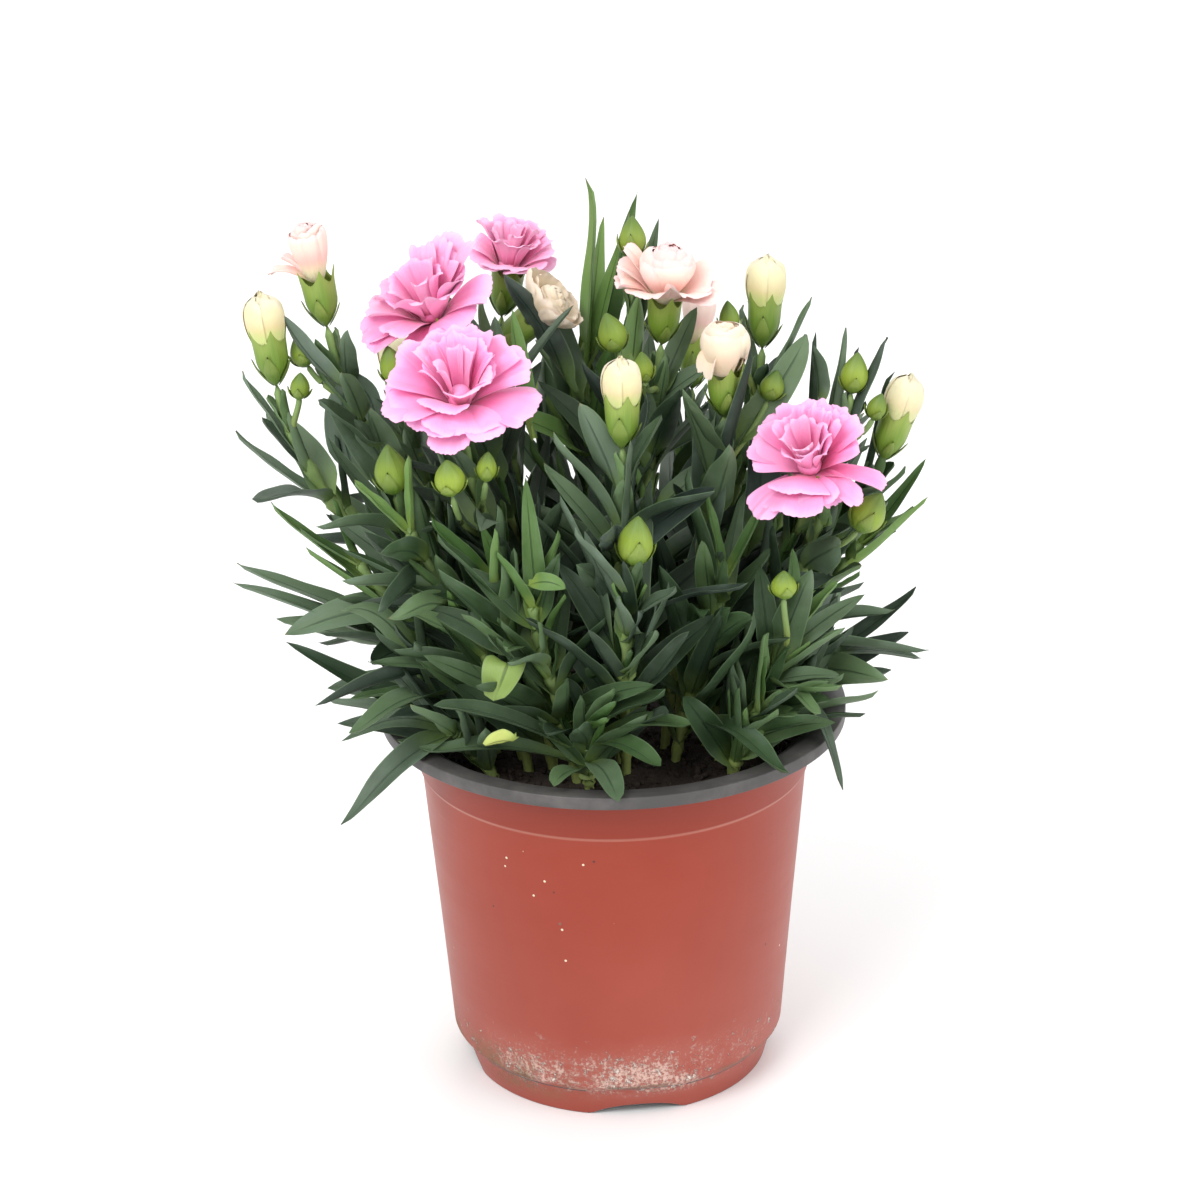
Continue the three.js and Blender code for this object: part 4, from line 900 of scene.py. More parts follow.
def add_furled(piece, head, draw):
    """The petals of a bud that shows its colour: a scroll, each over the next, with loose tips."""
    start = draw(0, 6.28)
    for ring, (count, scale, extra) in enumerate(FURLED_RINGS):
        for index in range(count):
            middle = start + ring + math.tau * index / count
            rise = FURLED_RISE + extra + draw(-1.8, 0.2) - 1
            spread = 1.5 * math.pi / count
            tip_in = draw(0.2, 1.3) * scale
            phase = draw(0, 6.28)
            tone = draw(0, 1)

            def place(across, along, depth):
                crown = 1 - 0.14 * abs(across) ** 2 + 0.01 * math.sin(13 * across + phase)
                height = PLUG_BOTTOM + 1 + rise * along * crown
                radius = furled_radius(height) * scale + 0.3 * across - 0.35 * depth
                radius -= tip_in * smooth(along, 0.75, 1) * (1.1 + 0.5 * math.sin(2.2 * across + phase))
                radius += 0.2 * math.sin(5 * across + phase) * smooth(along, 0.5, 1)
                return head.polar(max(radius, 0.25), middle + spread * across, height)

            piece.sheet(*GRIDS["furled"], place, 0, tone, 0.4 * ring)


# Extra leaves. They thicken the plant between the leaves that the solids hold.


def open_heads():
    """Places that extra leaves keep out of: the middle and the reach of each coloured head."""
    places = []
    for stem in STEMS:
        if "flower" in stem:
            axis = Vector(stem["axis"]).normalized()
            places.append((Vector(stem["tip"]) + axis * HEAD_MIDDLE, HEAD_REACH[stem["flower"]]))
            places.append((Vector(stem["tip"]) + axis * (CUP_LENGTH / 2), CUP_LENGTH / 2))
        for _, x, y, z, *_, radius, length in stem.get("buds", []):
            places.append((Vector((x, y, z + length / 2)), radius + 3))
    return places


def fits(plan, heads):
    """Whether an extra leaf stays inside the plant's spread, off the pot and away from the heads."""
    low, high = (corner / MM for corner in cad_box)
    rib = (plan["root"], plan["middle"], plan["tip"])
    for step in range(1, 9):
        spot = arc(rib, step / 8)
        if any(spot[axis] < low[axis] + 4 or spot[axis] > high[axis] - 4 for axis in range(3)):
            return False
        if abs(spot.x) > SPREAD_LOW + SPREAD_GAIN * max(spot.z - SPREAD_HEIGHT, 0) or spot.z > SPREAD_TOP:
            return False
        if math.hypot(spot.x, spot.y) > LIP_INNER_RADIUS - 9 and spot.z < RIM_HEIGHT + 5:
            return False
        if spot.z < SOIL_TOP + 4:
            return False
        if any((spot - centre).length < keep for centre, keep in heads):
            return False
    return True


def extra_leaves(stem, path, number, heads):
    """More crossed pairs between the source's, young leaves in the axils and clasping ones at a head."""
    draw = draws("extras", number)
    plans = []
    for step in range(7):
        at = 0.24 + 0.105 * step + draw(-0.03, 0.03)
        around = draw(0, 360)
        for side in BOTH_SIDES:
            length = stem["reach"] * draw(0.7, 1.05) * (1.1 - 0.4 * at)
            lean = draw(12, 36)
            around_stem = around + side + draw(-15, 15)
            droop = draw(0, 0.4)
            width = draw(8, 11.5)
            plan = free_leaf(path, at, around_stem, lean, droop, length, width, draw(-80, 80))
            if fits(plan, heads):
                plans.append(plan)
    for step in range(3):
        at = draw(0.3, 0.8)
        around = draw(0, 360)
        for side in BOTH_SIDES:
            plan = free_leaf(path, at, around + side, draw(9, 22), 0, draw(14, 28), draw(4, 5.5), 0)
            if fits(plan, heads):
                plans.append(dict(plan, youth=draw(0.6, 1)))
    for at, longest in ((0.78, 26), (0.88, 17)) if "flower" in stem else ():
        around = draw(0, 360)
        for side in BOTH_SIDES:
            lean = draw(7, 16)
            length = longest * draw(0.8, 1.15)
            plan = free_leaf(path, at, around + side, lean, 0, length, draw(6.5, 8.5), 0)
            plans.append(dict(plan, youth=draw(0.15, 0.7)))
    return plans


def odd_leaves(stem):
    """The single leaves that hang on a stem, as plans."""
    plans = []
    for leaf in ODD_LEAVES:
        if leaf["stem"] == stem["name"]:
            spots = {key: Vector(leaf[key]) for key in ("root", "middle", "tip")}
            plans.append(dict(leaf, **spots, tangent=UP, at=0.5))
    return plans


def openness(plan):
    """How far out of the plant's shade a leaf is, which sets its painted shade: from 0.14 deep inside,
    where leaves are painted darkest, to 1.
    """
    middle = plan["middle"]
    outward = smooth(math.hypot(middle.x, middle.y), 25, 95)
    upward = smooth(middle.z, 150, 250)
    return 0.14 + 0.86 * max(outward, upward)


def leaf_youth(stem, plan, draw):
    """How young a leaf is: the tips of shoots and the leaves on young stems are the freshest."""
    if "youth" in plan:
        return plan["youth"]
    if "tuft" not in stem:
        return stem.get("fresh", 0) + draw(0, 0.22) + 0.2 * draw(0, 1) * plan["at"]
    if plan["at"] > 0.95 or plan.get("key") and plan["width"] <= 8:
        return draw(0.75, 1)
    return draw(0.2, 0.55)


# Materials.


class Value:
    """A shader value. Arithmetic on it adds the Math nodes that do the same."""

    def __init__(self, finish, socket):
        self.finish = finish
        self.socket = socket

    def __add__(self, other):
        return self.finish.maths("ADD", self, other)

    def __sub__(self, other):
        return self.finish.maths("SUBTRACT", self, other)

    def __rsub__(self, other):
        return self.finish.maths("SUBTRACT", other, self)

    def __mul__(self, other):
        return self.finish.maths("MULTIPLY", self, other)

    __radd__ = __add__

    def between(self, low, high):
        """0 at low and 1 at high, with a soft start and end."""
        inputs = {"Value": self, 1: low, 2: high}
        return self.finish.node("MapRange", inputs, interpolation_type="SMOOTHSTEP")

    def within(self, start, full, fade, end):
        """1 from full to fade and 0 outside start and end, with soft edges."""
        return self.between(start, full) * self.between(end, fade)

    def part(self, axis):
        return self.finish.node("SeparateXYZ", {0: self}, axis)

    def grain(self, scale, detail=4, roughness=0.55):
        """Noise over these coordinates, at one scale or at a scale for each axis."""
        place = self
        if isinstance(scale, tuple):
            place = self.finish.node("Mapping", {"Vector": self, "Scale": scale})
            scale = 1
        inputs = {"Vector": place, "Scale": scale, "Detail": detail, "Roughness": roughness}
        return self.finish.node("TexNoise", inputs, "Fac")


class Finish:
    """A material in the making: its nodes are added by one method, and its skin takes layer on layer."""

    def __init__(self, name, **constants):
        self.material = bpy.data.materials.new(name)
        self.material.use_nodes = True
        self.tree = self.material.node_tree
        self.shader = self.tree.nodes["Principled BSDF"]
        for socket, value in constants.items():
            self.shader.inputs[socket.replace("_", " ")].default_value = value

    def node(self, kind, inputs, output=0, **settings):
        made = self.tree.nodes.new("ShaderNode" + kind)
        for name, value in settings.items():
            setattr(made, name, value)
        for socket, value in inputs.items():
            if isinstance(value, Value):
                self.tree.links.new(value.socket, made.inputs[socket])
            else:
                made.inputs[socket].default_value = value
        return Value(self, made.outputs[output])

    def maths(self, operation, first, second=0, clamp=False):
        return self.node("Math", {0: first, 1: second}, operation=operation, use_clamp=clamp)

    def blend(self, factor, first, second):
        """A mix of two colours, each a value or its red, green and blue."""
        first, second = (side if isinstance(side, Value) else (*side, 1) for side in (first, second))
        return self.node("Mix", {0: factor, 6: first, 7: second}, 2, data_type="RGBA")

    def layer(self, factor, tint):
        """Lays a colour over the skin, by a share."""
        self.skin = self.blend(factor, self.skin, tint)

    def place(self):
        return self.node("TexCoord", {}, "Object")

    def uv(self):
        return self.node("UVMap", {}, uv_map="UVMap")

    def attribute(self, name):
        return self.node("Attribute", {}, "Fac", attribute_name=name)

    def feed(self, socket, value):
        self.tree.links.new(value.socket, self.shader.inputs[socket])

    def done(self, roughness, height, depth):
        """The material, with its skin, its roughness and its bumps of at most a depth in metres."""
        self.feed("Base Color", self.skin)
        self.feed("Roughness", roughness)
        self.feed("Normal", self.node("Bump", {"Height": height, "Distance": depth, "Strength": 1}))
        return self.material


def leaf_finish():
    """A waxy leaf: painted shade in its midrib crease, fine parallel veins, a pale margin that is painted
    light shining through it, and a bloom that rubs off in places. Leaves deep in the plant are painted
    darker as shade.
    It is grey-green when old, fresh green when young and yellow at last."""
    finish = Finish("leaf_skin", IOR=1.42, Coat_Roughness=0.4, Coat_Weight=0.06)
    uv = finish.uv()
    along = uv.part(1)
    tone = finish.attribute("tone")
    youth = finish.attribute("youth")
    off_rib = finish.maths("ABSOLUTE", uv.part(0) - 0.5) * 2
    patches = finish.place().grain(55, 5)
    fine = uv.grain((60, 3, 1), 3)
    # Painted shade: tone is lower for leaves deep inside the plant, which makes them darker.
    shade = (tone * 0.8 + patches * 0.5).between(0.2, 0.95)
    old = finish.blend(shade, (0.014, 0.021, 0.020), (0.130, 0.182, 0.128))
    young = finish.blend(shade, (0.060, 0.140, 0.026), (0.200, 0.350, 0.085))
    yellow = finish.blend(shade, (0.36, 0.42, 0.10), (0.55, 0.62, 0.16))
    foot = finish.blend(youth, (0.15, 0.25, 0.06), (0.34, 0.46, 0.09))
    bloom = patches.between(0.45, 0.75) * off_rib.between(0.1, 0.7) * (1 - youth * 0.5)
    # Painted shade: a dark line along the midrib crease.
    shaded_rib_crease = off_rib.between(0.075, 0.02) * along.between(0.98, 0.7)
    dry = along.between(0.965, 1) * tone.between(0.6, 0.8)
    finish.skin = finish.blend(finish.maths("ADD", youth, 0, clamp=True), old, young)
    finish.layer(finish.maths("SUBTRACT", youth, 1, clamp=True), yellow)
    finish.layer(along.between(0.34, 0.02) * 0.8, foot)
    finish.layer(bloom * 0.2, (0.30, 0.38, 0.36))
    finish.layer(shaded_rib_crease * 0.5, (0.012, 0.03, 0.018))
    # Painted light: a pale band along the margin stands in for light shining through the leaf's edge.
    finish.layer(off_rib.between(0.88, 0.97) * 0.4, (0.22, 0.34, 0.17))
    finish.layer(fine * 0.25, (0.02, 0.05, 0.03))
    finish.layer(dry * 0.7, (0.30, 0.22, 0.10))
    return finish.done(0.38 + patches * 0.22, fine * 0.5 + (1 - shaded_rib_crease) + patches * 0.3, 0.00025)


def stalk_finish():
    """Stems: smooth and round, light green, with a pale bloom and darker streaks."""
    finish = Finish("stalk_skin", IOR=1.4)
    place = finish.place()
    along = finish.uv().part(1)
    patches = place.grain(120)
    streaks = place.grain((900, 900, 60), 3)
    finish.skin = finish.blend(along.between(0.1, 0.9), (0.38, 0.45, 0.10), (0.22, 0.33, 0.09))
    finish.layer(patches * 0.45, (0.22, 0.31, 0.18))
    finish.layer(streaks * 0.3, (0.06, 0.12, 0.035))
    return finish.done(0.42 + patches * 0.2, streaks, 0.0001)


def green_skin(name, rim, foot, middle, tip):
    """The skin of cups and buds: fine lengthwise veins, and a colour that goes over from foot to tip."""
    finish = Finish(name, IOR=1.42, Coat_Weight=0.1, Coat_Roughness=0.35)
    uv = finish.uv()
    patches = finish.place().grain(140)
    veins = uv.grain((90, 2, 1), 2)
    along = uv.part(1) * (1 / rim) + patches * 0.2
    finish.skin = finish.blend(along.between(0.05, 0.5), foot, middle)
    finish.layer(along.between(0.6, 1.05), tip)
    finish.layer(finish.attribute("tone").between(1, 0) * 0.45, (0.06, 0.14, 0.025))
    finish.layer(veins * 0.4, (0.06, 0.13, 0.02))
    return finish.done(0.34 + patches * 0.2, veins * 0.8 + patches * 0.3, 0.0002)


def petal_finish(name, deep, middle, edge, claw, pale):
    """A petal: fine fan veins, a deeper heart that is partly painted shade, soft mottling and a light edge
    that is partly painted highlight. Pink and mauve claws are painted dark as shade. Young petals are
    paler.
    """
    finish = Finish(name, IOR=1.38, Sheen_Weight=0.25, Sheen_Roughness=0.5, Subsurface_Weight=0.12,
                    Subsurface_Scale=0.0015, Subsurface_Radius=(1, 0.5, 0.6))
    uv = finish.uv()
    along = uv.part(1)
    patches = finish.place().grain(90)
    veins = uv.grain((70, 1.6, 1), 3)
    # Partly painted shade: the deep colour at the petal's heart, inside the flower.
    finish.skin = finish.blend((along + patches * 0.3 - 0.15).between(0.35, 0.75), deep, middle)
    # Partly painted highlight: the light colour at the petal's edge.
    finish.layer((along + patches * 0.25 - 0.12).between(0.78, 1), edge)
    finish.layer(finish.attribute("youth") * 0.7, pale)
    # Painted shade in pink and mauve: their dark claw colour stands in for the shade in the flower's
    # hollows.
    finish.layer(along.between(0.5, 0.2), claw)
    finish.layer(finish.attribute("tone").between(0.2, 0.9) * 0.35, edge)
    finish.layer(veins * 0.28, deep)
    return finish.done(0.5 + patches * 0.2, veins * 0.8 + patches * 0.2, 0.00018)


def pot_outside_finish():
    """Thin terracotta-red plastic: mould flow, scuffs, specks, a painted highlight on the ledge, painted
    shade towards the lip and a chalky, dirty foot.
    """
    finish = Finish("pot_outside", IOR=1.43)
    place = finish.place()
    left, front, height = (place.part(axis) for axis in range(3))
    clouds = place.grain(14, 5)
    flow = place.grain((30, 30, 160))
    cloudy = clouds.between(0.3, 0.7)
    orange = finish.blend(cloudy, (0.270, 0.027, 0.009), (0.298, 0.036, 0.014))
    rosy = finish.blend(cloudy, (0.280, 0.041, 0.022), (0.322, 0.059, 0.037))
    ledge_highlight = height.within(0.1109, 0.1115, 0.1122, 0.1127)
    scuffs = place.grain((12, 12, 260), 3).between(0.66, 0.72)
    scuffs = scuffs * clouds.between(0.45, 0.6) * height.between(0.09, 0.1)
    # Painted shade: the wall is a darker, deeper orange towards the lip and rosier lower down.
    finish.skin = finish.blend((height + clouds * 0.03).between(0.125, 0.045), orange, rosy)
    finish.layer(flow * 0.3, (0.30, 0.056, 0.034))
    # Painted shade: darker still above the ledge, under the lip.
    finish.layer(height.between(0.1112, 0.1125) * 0.6, (0.225, 0.020, 0.006))
    # Painted highlight: a pale line along the ledge.
    finish.layer(ledge_highlight * (0.12 + clouds * 0.25), (0.70, 0.36, 0.27))
    finish.layer(scuffs * 0.12, (0.62, 0.30, 0.24))

    band = height.within(0.004, 0.012, 0.018, 0.036)
    patches = place.grain((38, 38, 70), 6, 0.65)
    speckle = place.grain(900, 3, 0.7)
    streaks = place.grain((700, 700, 130), 3)
    facing = left.within(-0.050, -0.024, 0.018, 0.046) * front.between(0, -0.02)
    film = band * (patches + facing * 0.07).between(0.35, 0.64) * (0.55 + facing * 0.45)
    grains = (speckle * 0.55 + streaks * 0.25 + film * 0.18).between(0.49, 0.61) * film
    lumps = (place.grain(330, 5, 0.7) + film * 0.07).between(0.63, 0.69) * band
    finish.layer(film * 0.3, (0.50, 0.24, 0.20))
    finish.layer(grains * 0.62, (0.72, 0.56, 0.48))
    finish.layer(lumps * 0.75, (0.82, 0.74, 0.66))

    soiled = place.grain(60, 5)
    dirt = (soiled * 0.7 + place.grain(900, 4, 0.6) * 0.3).between(0.38, 0.55)
    dirt = height.within(0.001, 0.009, 0.010, 0.026) * left.between(0, -0.045) * dirt
    seam = height.within(0.0118, 0.0128, 0.0136, 0.0148) * soiled.between(0.46, 0.58)
    finish.layer(dirt * 0.8, (0.17, 0.125, 0.06))
    finish.layer(seam * 0.6, (0.14, 0.09, 0.05))

    cells = {"Vector": place, "Scale": 230}
    dots = finish.node("TexVoronoi", cells, "Distance")
    pick = finish.node("TexVoronoi", cells, "Color")
    near = dots.between(0.13, 0.08)
    where = left.within(-0.046, -0.038, -0.008, 0.010) * height.within(0.060, 0.075, 0.102, 0.108)
    specks = near * (pick.part(0) + where * 0.55).between(0.993, 0.996)
    stains = near * (pick.part(1) + where * 0.08).between(0.995, 0.997)
    finish.layer(specks * 0.9, (0.86, 0.70, 0.50))
    finish.layer(stains * 0.9, (0.05, 0.02, 0.02))
    rough = finish.maths("ADD", 0.33 + flow * 0.12, grains * 0.35 + film * 0.2 + dirt * 0.25, clamp=True)
    return finish.done(rough, flow * 0.25 + grains * 0.7 + lumps * 1.4 + dirt * 0.7 + specks * 0.6, 0.0004)


def pot_inside_finish():
    """The black lip and inner layer: dark grey plastic with dusty scuffs."""
    finish = Finish("pot_inside", IOR=1.46)
    place = finish.place()
    dust = place.grain(45, 6, 0.65)
    flow = place.grain((200, 200, 40), 3)
    finish.skin = finish.blend(dust.between(0.4, 0.75), (0.060, 0.056, 0.055), (0.115, 0.107, 0.103))
    return finish.done(0.36 + dust * 0.25, flow * 0.4 + dust * 0.3, 0.0002)


def peat_finish():
    """Damp peat: near black with brown fibres."""
    finish = Finish("peat")
    place = finish.place()
    crumbs = place.grain(300, 6, 0.7)
    fibres = place.grain((900, 260, 400))
    finish.skin = finish.blend(crumbs, (0.008, 0.006, 0.005), (0.060, 0.040, 0.028))
    finish.layer(fibres.between(0.6, 0.75) * 0.6, (0.13, 0.085, 0.05))
    return finish.done(0.75 + crumbs * 0.2, crumbs + fibres * 0.4, 0.0012)


def floor_finish():
    """White paint that is faintly uneven."""
    finish = Finish("floor_paint", Roughness=0.7)
    grain = finish.place().grain(3, 3)
    finish.feed("Base Color", finish.blend(grain, (0.86, 0.86, 0.86), (0.90, 0.90, 0.90)))
    return finish.material


# The pot and the peat.


def rounded(points, radius, steps=3):
    """A profile with each inner corner cut by a short arc of about the given size."""
    made = [points[0]]
    for before, corner, after in zip(points, points[1:], points[2:]):
        here = Vector(corner)
        back = Vector(before) - here
        on = Vector(after) - here
        cut = min(radius, 0.45 * back.length, 0.45 * on.length)
        start = here + back.normalized() * cut
        end = here + on.normalized() * cut
        for step in range(steps + 1):
            at = step / steps
            spot = start * (1 - at) ** 2 + here * (2 * at * (1 - at)) + end * at**2
            made.append((spot.x, spot.y))
    made.append(points[-1])
    return made


def spun(bm, profile, sides):
    """A profile of [radius, height] points turned about Z into a closed skin."""
    verts = [bm.verts.new((radius, 0, height)) for radius, height in profile]
    edges = [bm.edges.new(pair) for pair in zip(verts, verts[1:])]
    bmesh.ops.spin(bm, geom=verts + edges, cent=(0, 0, 0), axis=(0, 0, 1), angle=math.tau, steps=sides,
                   use_merge=True)
    bmesh.ops.remove_doubles(bm, verts=bm.verts, dist=0.001)
    bmesh.ops.recalc_face_normals(bm, faces=bm.faces)


def channel_lift(x, y):
    """How far the base is pressed up at a place, by the drain channels."""
    lift = 0
    for index in range(CHANNEL_COUNT):
        angle = math.radians(CHANNEL_TURN + 360 / CHANNEL_COUNT * index)
        along = x * math.cos(angle) + y * math.sin(angle)
        cross = abs(y * math.cos(angle) - x * math.sin(angle))
        arch = max(1 - (cross / CHANNEL_HALF_WIDTH) ** 2.2, 0) ** 0.85
        lift = max(lift, arch * smooth(along, CHANNEL_START - 1, CHANNEL_START + 2))
    return CHANNEL_HEIGHT * lift


def pot_profile():
    """The pot's outline: from the middle of its base up its outside to the lip, and down its inside."""
    inner_floor = WALL + 0.2
    foot_rows = [(FOOT_RADIUS + 0.42 * step, 0.1 + 12.1 * step / 8) for step in range(1, 8)]
    outside = [
        (0, 0), *((radius, 0) for radius in BASE_RADII), (FOOT_RADIUS, 0), *foot_rows,
        (CREASE_RADIUS - 1, CREASE_HEIGHT - 1.4), (CREASE_RADIUS, CREASE_HEIGHT), *WALL_SPOTS,
        (STEP_RADIUS, STEP_HEIGHT), (STEP_RADIUS + 0.9, STEP_HEIGHT + 1.2),
        (STEP_RADIUS + 2.3, LIP_UNDERSIDE), (RIM_RADIUS, LIP_UNDERSIDE), (RIM_RADIUS, RIM_HEIGHT),
        (LIP_INNER_RADIUS, RIM_HEIGHT),
    ]
    inside = [
        (LIP_INNER_RADIUS, RIM_HEIGHT), (STEP_RADIUS + 1.1, LIP_UNDERSIDE + 0.5),
        (STEP_RADIUS - WALL, STEP_HEIGHT), (CREASE_RADIUS - WALL, CREASE_HEIGHT),
        (FOOT_RADIUS - WALL, inner_floor), *((radius, inner_floor) for radius in reversed(BASE_RADII)),
        (0, inner_floor),
    ]
    return rounded(outside, CORNER_RADIUS) + rounded(inside, CORNER_RADIUS)[1:]


def bore(bm):
    """Cuts the drain holes through the shell, which is in metres here."""
    drills = bmesh.new()
    for index in range(CHANNEL_COUNT):
        angle = math.radians(CHANNEL_TURN + 360 / CHANNEL_COUNT * index)
        middle = (DRAIN_DISTANCE * math.cos(angle), DRAIN_DISTANCE * math.sin(angle), DRAIN_MIDDLE)
        bmesh.ops.create_cone(drills, cap_ends=True, segments=DRAIN_SIDES, radius1=DRAIN_RADIUS,
                              radius2=DRAIN_RADIUS, depth=DRAIN_DEPTH, matrix=Matrix.Translation(middle))
    bmesh.ops.scale(drills, vec=(MM, MM, MM), verts=drills.verts)
    blank = placed("pot_blank", bm)
    drill = placed("drain_drills", drills)
    cut = blank.modifiers.new("drains", "BOOLEAN")
    cut.operation = "DIFFERENCE"
    cut.solver = "EXACT"
    cut.object = drill
    bored = bpy.data.meshes.new_from_object(blank.evaluated_get(bpy.context.evaluated_depsgraph_get()))
    for made in (blank, drill):
        bpy.data.objects.remove(made)
    return bored


def make_pot():
    """The pot as one spun shell: red outside, black inside and on its lip, with channels and drains."""
    piece = Piece("pot_shell", [pot_outside_finish(), pot_inside_finish()])
    blank = bmesh.new()
    spun(blank, pot_profile(), POT_SIDES)
    for vert in blank.verts:
        lift = channel_lift(vert.co.x, vert.co.y)
        vert.co.z += lift * max(1 - vert.co.z / CREASE_HEIGHT, 0)
    for face in blank.faces:
        spot = face.calc_center_median()
        outward = face.normal.dot(Vector((spot.x, spot.y, 0)).normalized())
        face.smooth = True
        face.material_index = 0 if outward > 0.2 and 0.3 < spot.z < LIP_UNDERSIDE - 0.2 else 1
    bmesh.ops.scale(blank, vec=(MM, MM, MM), verts=blank.verts)
    piece.bm.from_mesh(bore(blank))
    bmesh.ops.scale(piece.bm, vec=(1 / MM, 1 / MM, 1 / MM), verts=piece.bm.verts)
    for face in piece.bm.faces:
        face.material_index = min(face.material_index, 1)
    piece.finish("pot", "pot")


def make_peat():
    """The peat: a lumpy plug with crumbs pressed into its top."""
    piece = Piece("peat_plug", [peat_finish()])
    fit = WALL + 0.45
    edge = STEP_RADIUS - fit + 0.2
    shares = [step / SOIL_RINGS for step in range(SOIL_RINGS)]
    rings = [(edge * (1 - share), SOIL_TOP - 2.5 * (1 - smooth(share, 0, 0.25))) for share in shares]
    profile = [
        (0, SOIL_BOTTOM), (CREASE_RADIUS - fit - 4, SOIL_BOTTOM), (CREASE_RADIUS - fit, CREASE_HEIGHT + 1),
        (edge - 0.6, SOIL_TOP - 9), *rings, (0, SOIL_TOP),
    ]
    spun(piece.bm, profile, SOIL_SIDES)
    for vert in piece.bm.verts:
        if vert.co.z > SOIL_TOP - 5:
            lumps = noise.fractal(vert.co * 0.09, 0.9, 2.0, 4) * 1.6
            lumps += noise.fractal(vert.co * 0.5, 1, 2.1, 3) * 0.8
            vert.co.z += min(max(lumps, -2.2), 2.6)
    draw = draws("crumbs")
    for _ in range(CRUMB_COUNT):
        radius = (edge - 2.5) * math.sqrt(draw(0, 1))
        angle = draw(0, 6.283)
        size = draw(0.5, 1.9) * draw(0.6, 1.1)
        spot = (radius * math.cos(angle), radius * math.sin(angle), SOIL_TOP + draw(-0.9, 1.1))
        turn = Quaternion((draw(-1, 1), draw(-1, 1), draw(-1, 1)), draw(0, 3)).to_matrix().to_4x4()
        shape = Matrix.Diagonal((size * draw(0.7, 1.5), size, size * draw(0.5, 0.9), 1))
        bmesh.ops.create_icosphere(piece.bm, subdivisions=1, radius=1,
                                   matrix=Matrix.Translation(spot) @ turn @ shape)
    for face in piece.bm.faces:
        face.smooth = True
    piece.finish("soil", "soil")


# The plant.


def make_stem(number, stem, finishes, heads):
    """One leafy stem with its branches, buds and cup, in place of its solid."""
    node = f"stem_{stem['name']}"
    path = stem_path(stem)
    axis = Vector(stem["axis"]).normalized()
    draw = draws("stem", number)
    piece = Piece(f"foliage_{stem['name']}", finishes)
    plans = as_built(leaf_plans(stem, path, draws("leaves", number)), node)
    plans += extra_leaves(stem, path, number, heads) + odd_leaves(stem)
    joints = sorted({plan["at"] for plan in plans})
    add_stalk(piece, path, STEM_RADIUS, joints, GRIDS["stem"], draw(0, 1))
    for plan in plans:
        blunt = plan.get("blunt", "blunt" in stem and plan.get("key", False))
        # The tone carries painted shade: leaves deep inside the plant get a lower one.
        add_leaf(piece, plan, draw(0, 1) * openness(plan), leaf_youth(stem, plan, draw), draw, blunt)
    for at, x, y, z, ax, ay, az, radius, length in stem.get("buds", []):
        foot = Vector((x, y, z))
        lean = Vector((ax, ay, az)).normalized()
        branch = branch_path(path, at, foot, lean)
        add_stalk(piece, branch, BRANCH_RADIUS, [], GRIDS["branch"], draw(0, 1))
        add_bud(piece, Head(foot, lean), radius, length, draw(0.2, 1), draw)
    head = Head(path[3], axis)
    if stem.get("flower") == "green":
        radius = GREEN_BUD_RADIUS * stem["size"]
        add_bud(piece, head, radius, GREEN_BUD_LENGTH * stem["size"], draw(0.3, 1), draw)
    elif "flower" in stem:
        add_cup(piece, head, draw(0.2, 0.9), draw)
        add_scales(piece, head, draw(0, 0.6), draw, cup_radius, CUP_SCALES)
    piece.finish("young_leaves" if "tuft" in stem else "leaves", node)


def make_petals(number, stem, finishes):
    """The petals of one coloured head, in place of their solid."""
    axis = Vector(stem["axis"]).normalized()
    seat = Vector(stem["tip"]) + axis * ((1 - stem["size"]) * PLUG_BOTTOM)
    head = Head(seat, axis, stem["size"])
    piece = Piece(f"bloom_{stem['name']}", [finishes[stem.get("tint", stem["colour"])]])
    form = stem.get("form", stem["flower"])
    add_heart(piece, head, form)
    if form == "bud":
        add_furled(piece, head, draws("furled", number))
    else:
        add_bloom(piece, head, stem, form, draws("bloom", number), draws("petals", number))
    piece.finish(f"{stem['colour']}_petals", f"petals_{stem['name']}")


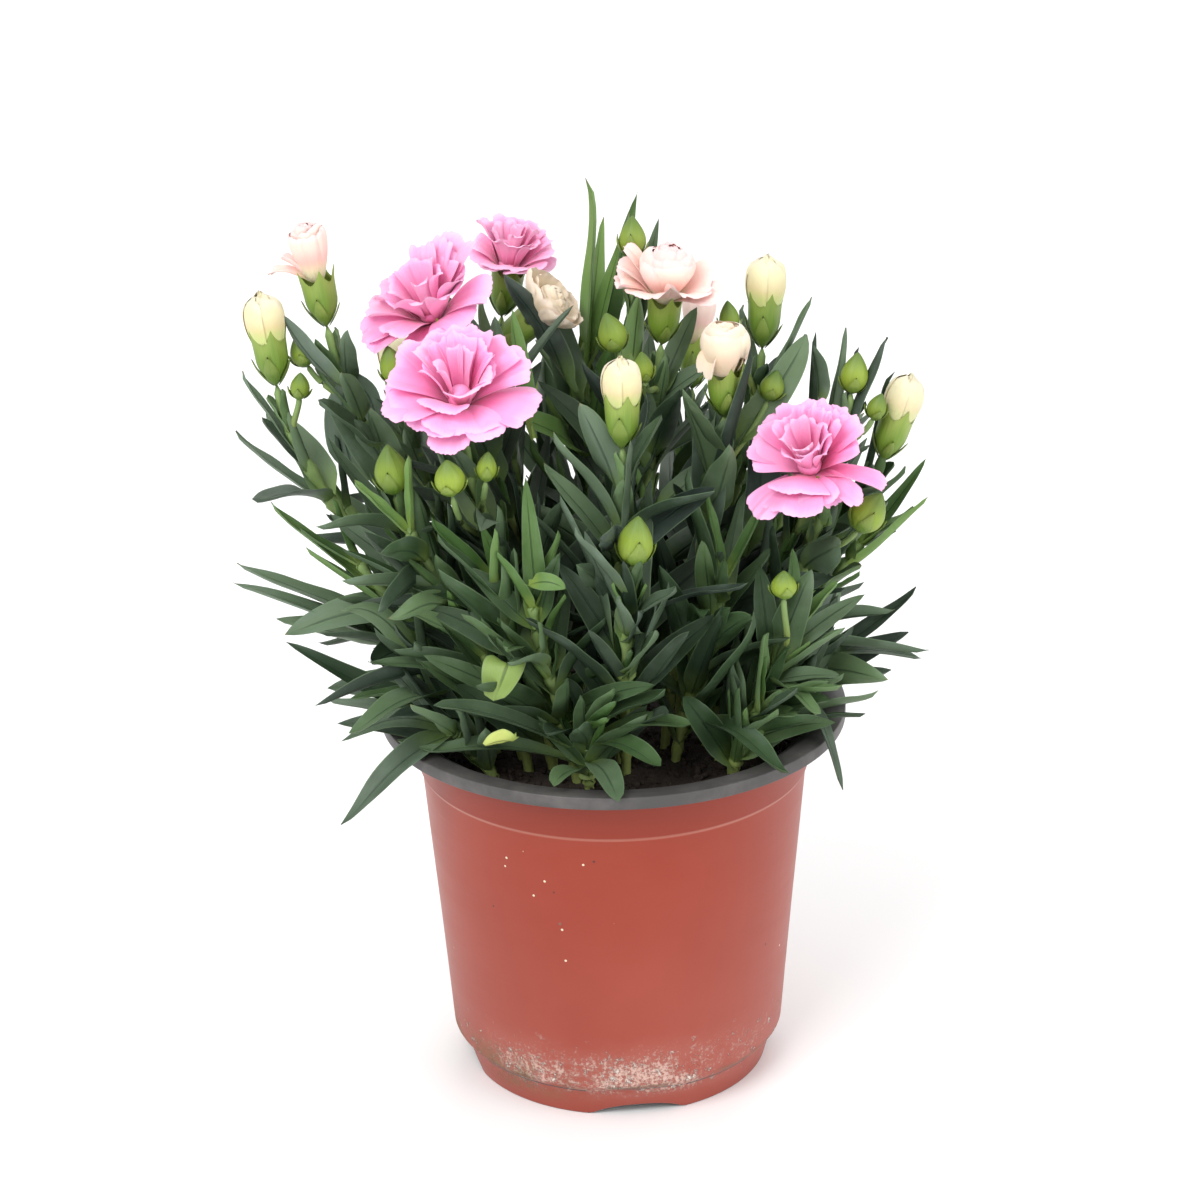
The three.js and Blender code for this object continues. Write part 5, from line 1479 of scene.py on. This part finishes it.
def make_plant():
    foliage = [leaf_finish(), stalk_finish(), *(green_skin(*row) for row in GREEN_SKINS)]
    petals = {name: petal_finish(f"{name}_petal", *tints) for name, tints in PETAL_TINTS.items()}
    heads = open_heads()
    for number, stem in enumerate(STEMS):
        make_stem(number, stem, foliage, heads)
        if stem.get("flower", "green") != "green":
            make_petals(number, stem, petals)


# The studio.


def make_floor():
    bm = bmesh.new()
    bmesh.ops.create_grid(bm, x_segments=1, y_segments=1, size=6)
    placed("studio_floor", bm, [floor_finish()])


def make_light(name, spot, size, power):
    data = bpy.data.lights.new(name, "AREA")
    data.shape = "SQUARE"
    data.size = size
    data.energy = power
    light = bpy.data.objects.new(name, data)
    light.location = spot
    light.rotation_euler = (Vector(spot) - LIGHT_TARGET).to_track_quat("Z", "Y").to_euler()
    bpy.context.scene.collection.objects.link(light)


def make_studio():
    make_floor()
    for name, spot, size, power in LIGHTS:
        make_light(name, spot, size, power)
    world = bpy.data.worlds.new("studio_air")
    world.use_nodes = True
    air = world.node_tree.nodes["Background"].inputs
    air["Color"].default_value = (1, 1, 1, 1)
    air["Strength"].default_value = AIR_STRENGTH
    bpy.context.scene.world = world
    bpy.context.scene.view_settings.view_transform = "Standard"


def make_camera():
    """The photograph's view: its distance, height, roll and focal length."""
    back = Vector((0, -math.cos(CAMERA_RISE), math.sin(CAMERA_RISE)))
    upright = Vector((0, math.sin(CAMERA_RISE), math.cos(CAMERA_RISE)))
    right = Vector((1, 0, 0))
    across = right * math.cos(CAMERA_ROLL) + upright * math.sin(CAMERA_ROLL)
    above = upright * math.cos(CAMERA_ROLL) - right * math.sin(CAMERA_ROLL)
    data = bpy.data.cameras.new("photo_camera")
    data.sensor_width = SENSOR
    data.sensor_fit = "HORIZONTAL"
    data.lens = SENSOR * FOCAL_PIXELS / IMAGE_PIXELS
    data.clip_end = 20
    camera = bpy.data.objects.new("photo_camera", data)
    turn = Matrix((across, above, back)).transposed().to_4x4()
    camera.matrix_world = Matrix.Translation((CAMERA_TARGET + back * CAMERA_DISTANCE) * MM) @ turn
    bpy.context.scene.collection.objects.link(camera)
    bpy.context.scene.camera = camera


make_camera()
make_studio()
make_pot()
make_peat()
make_plant()
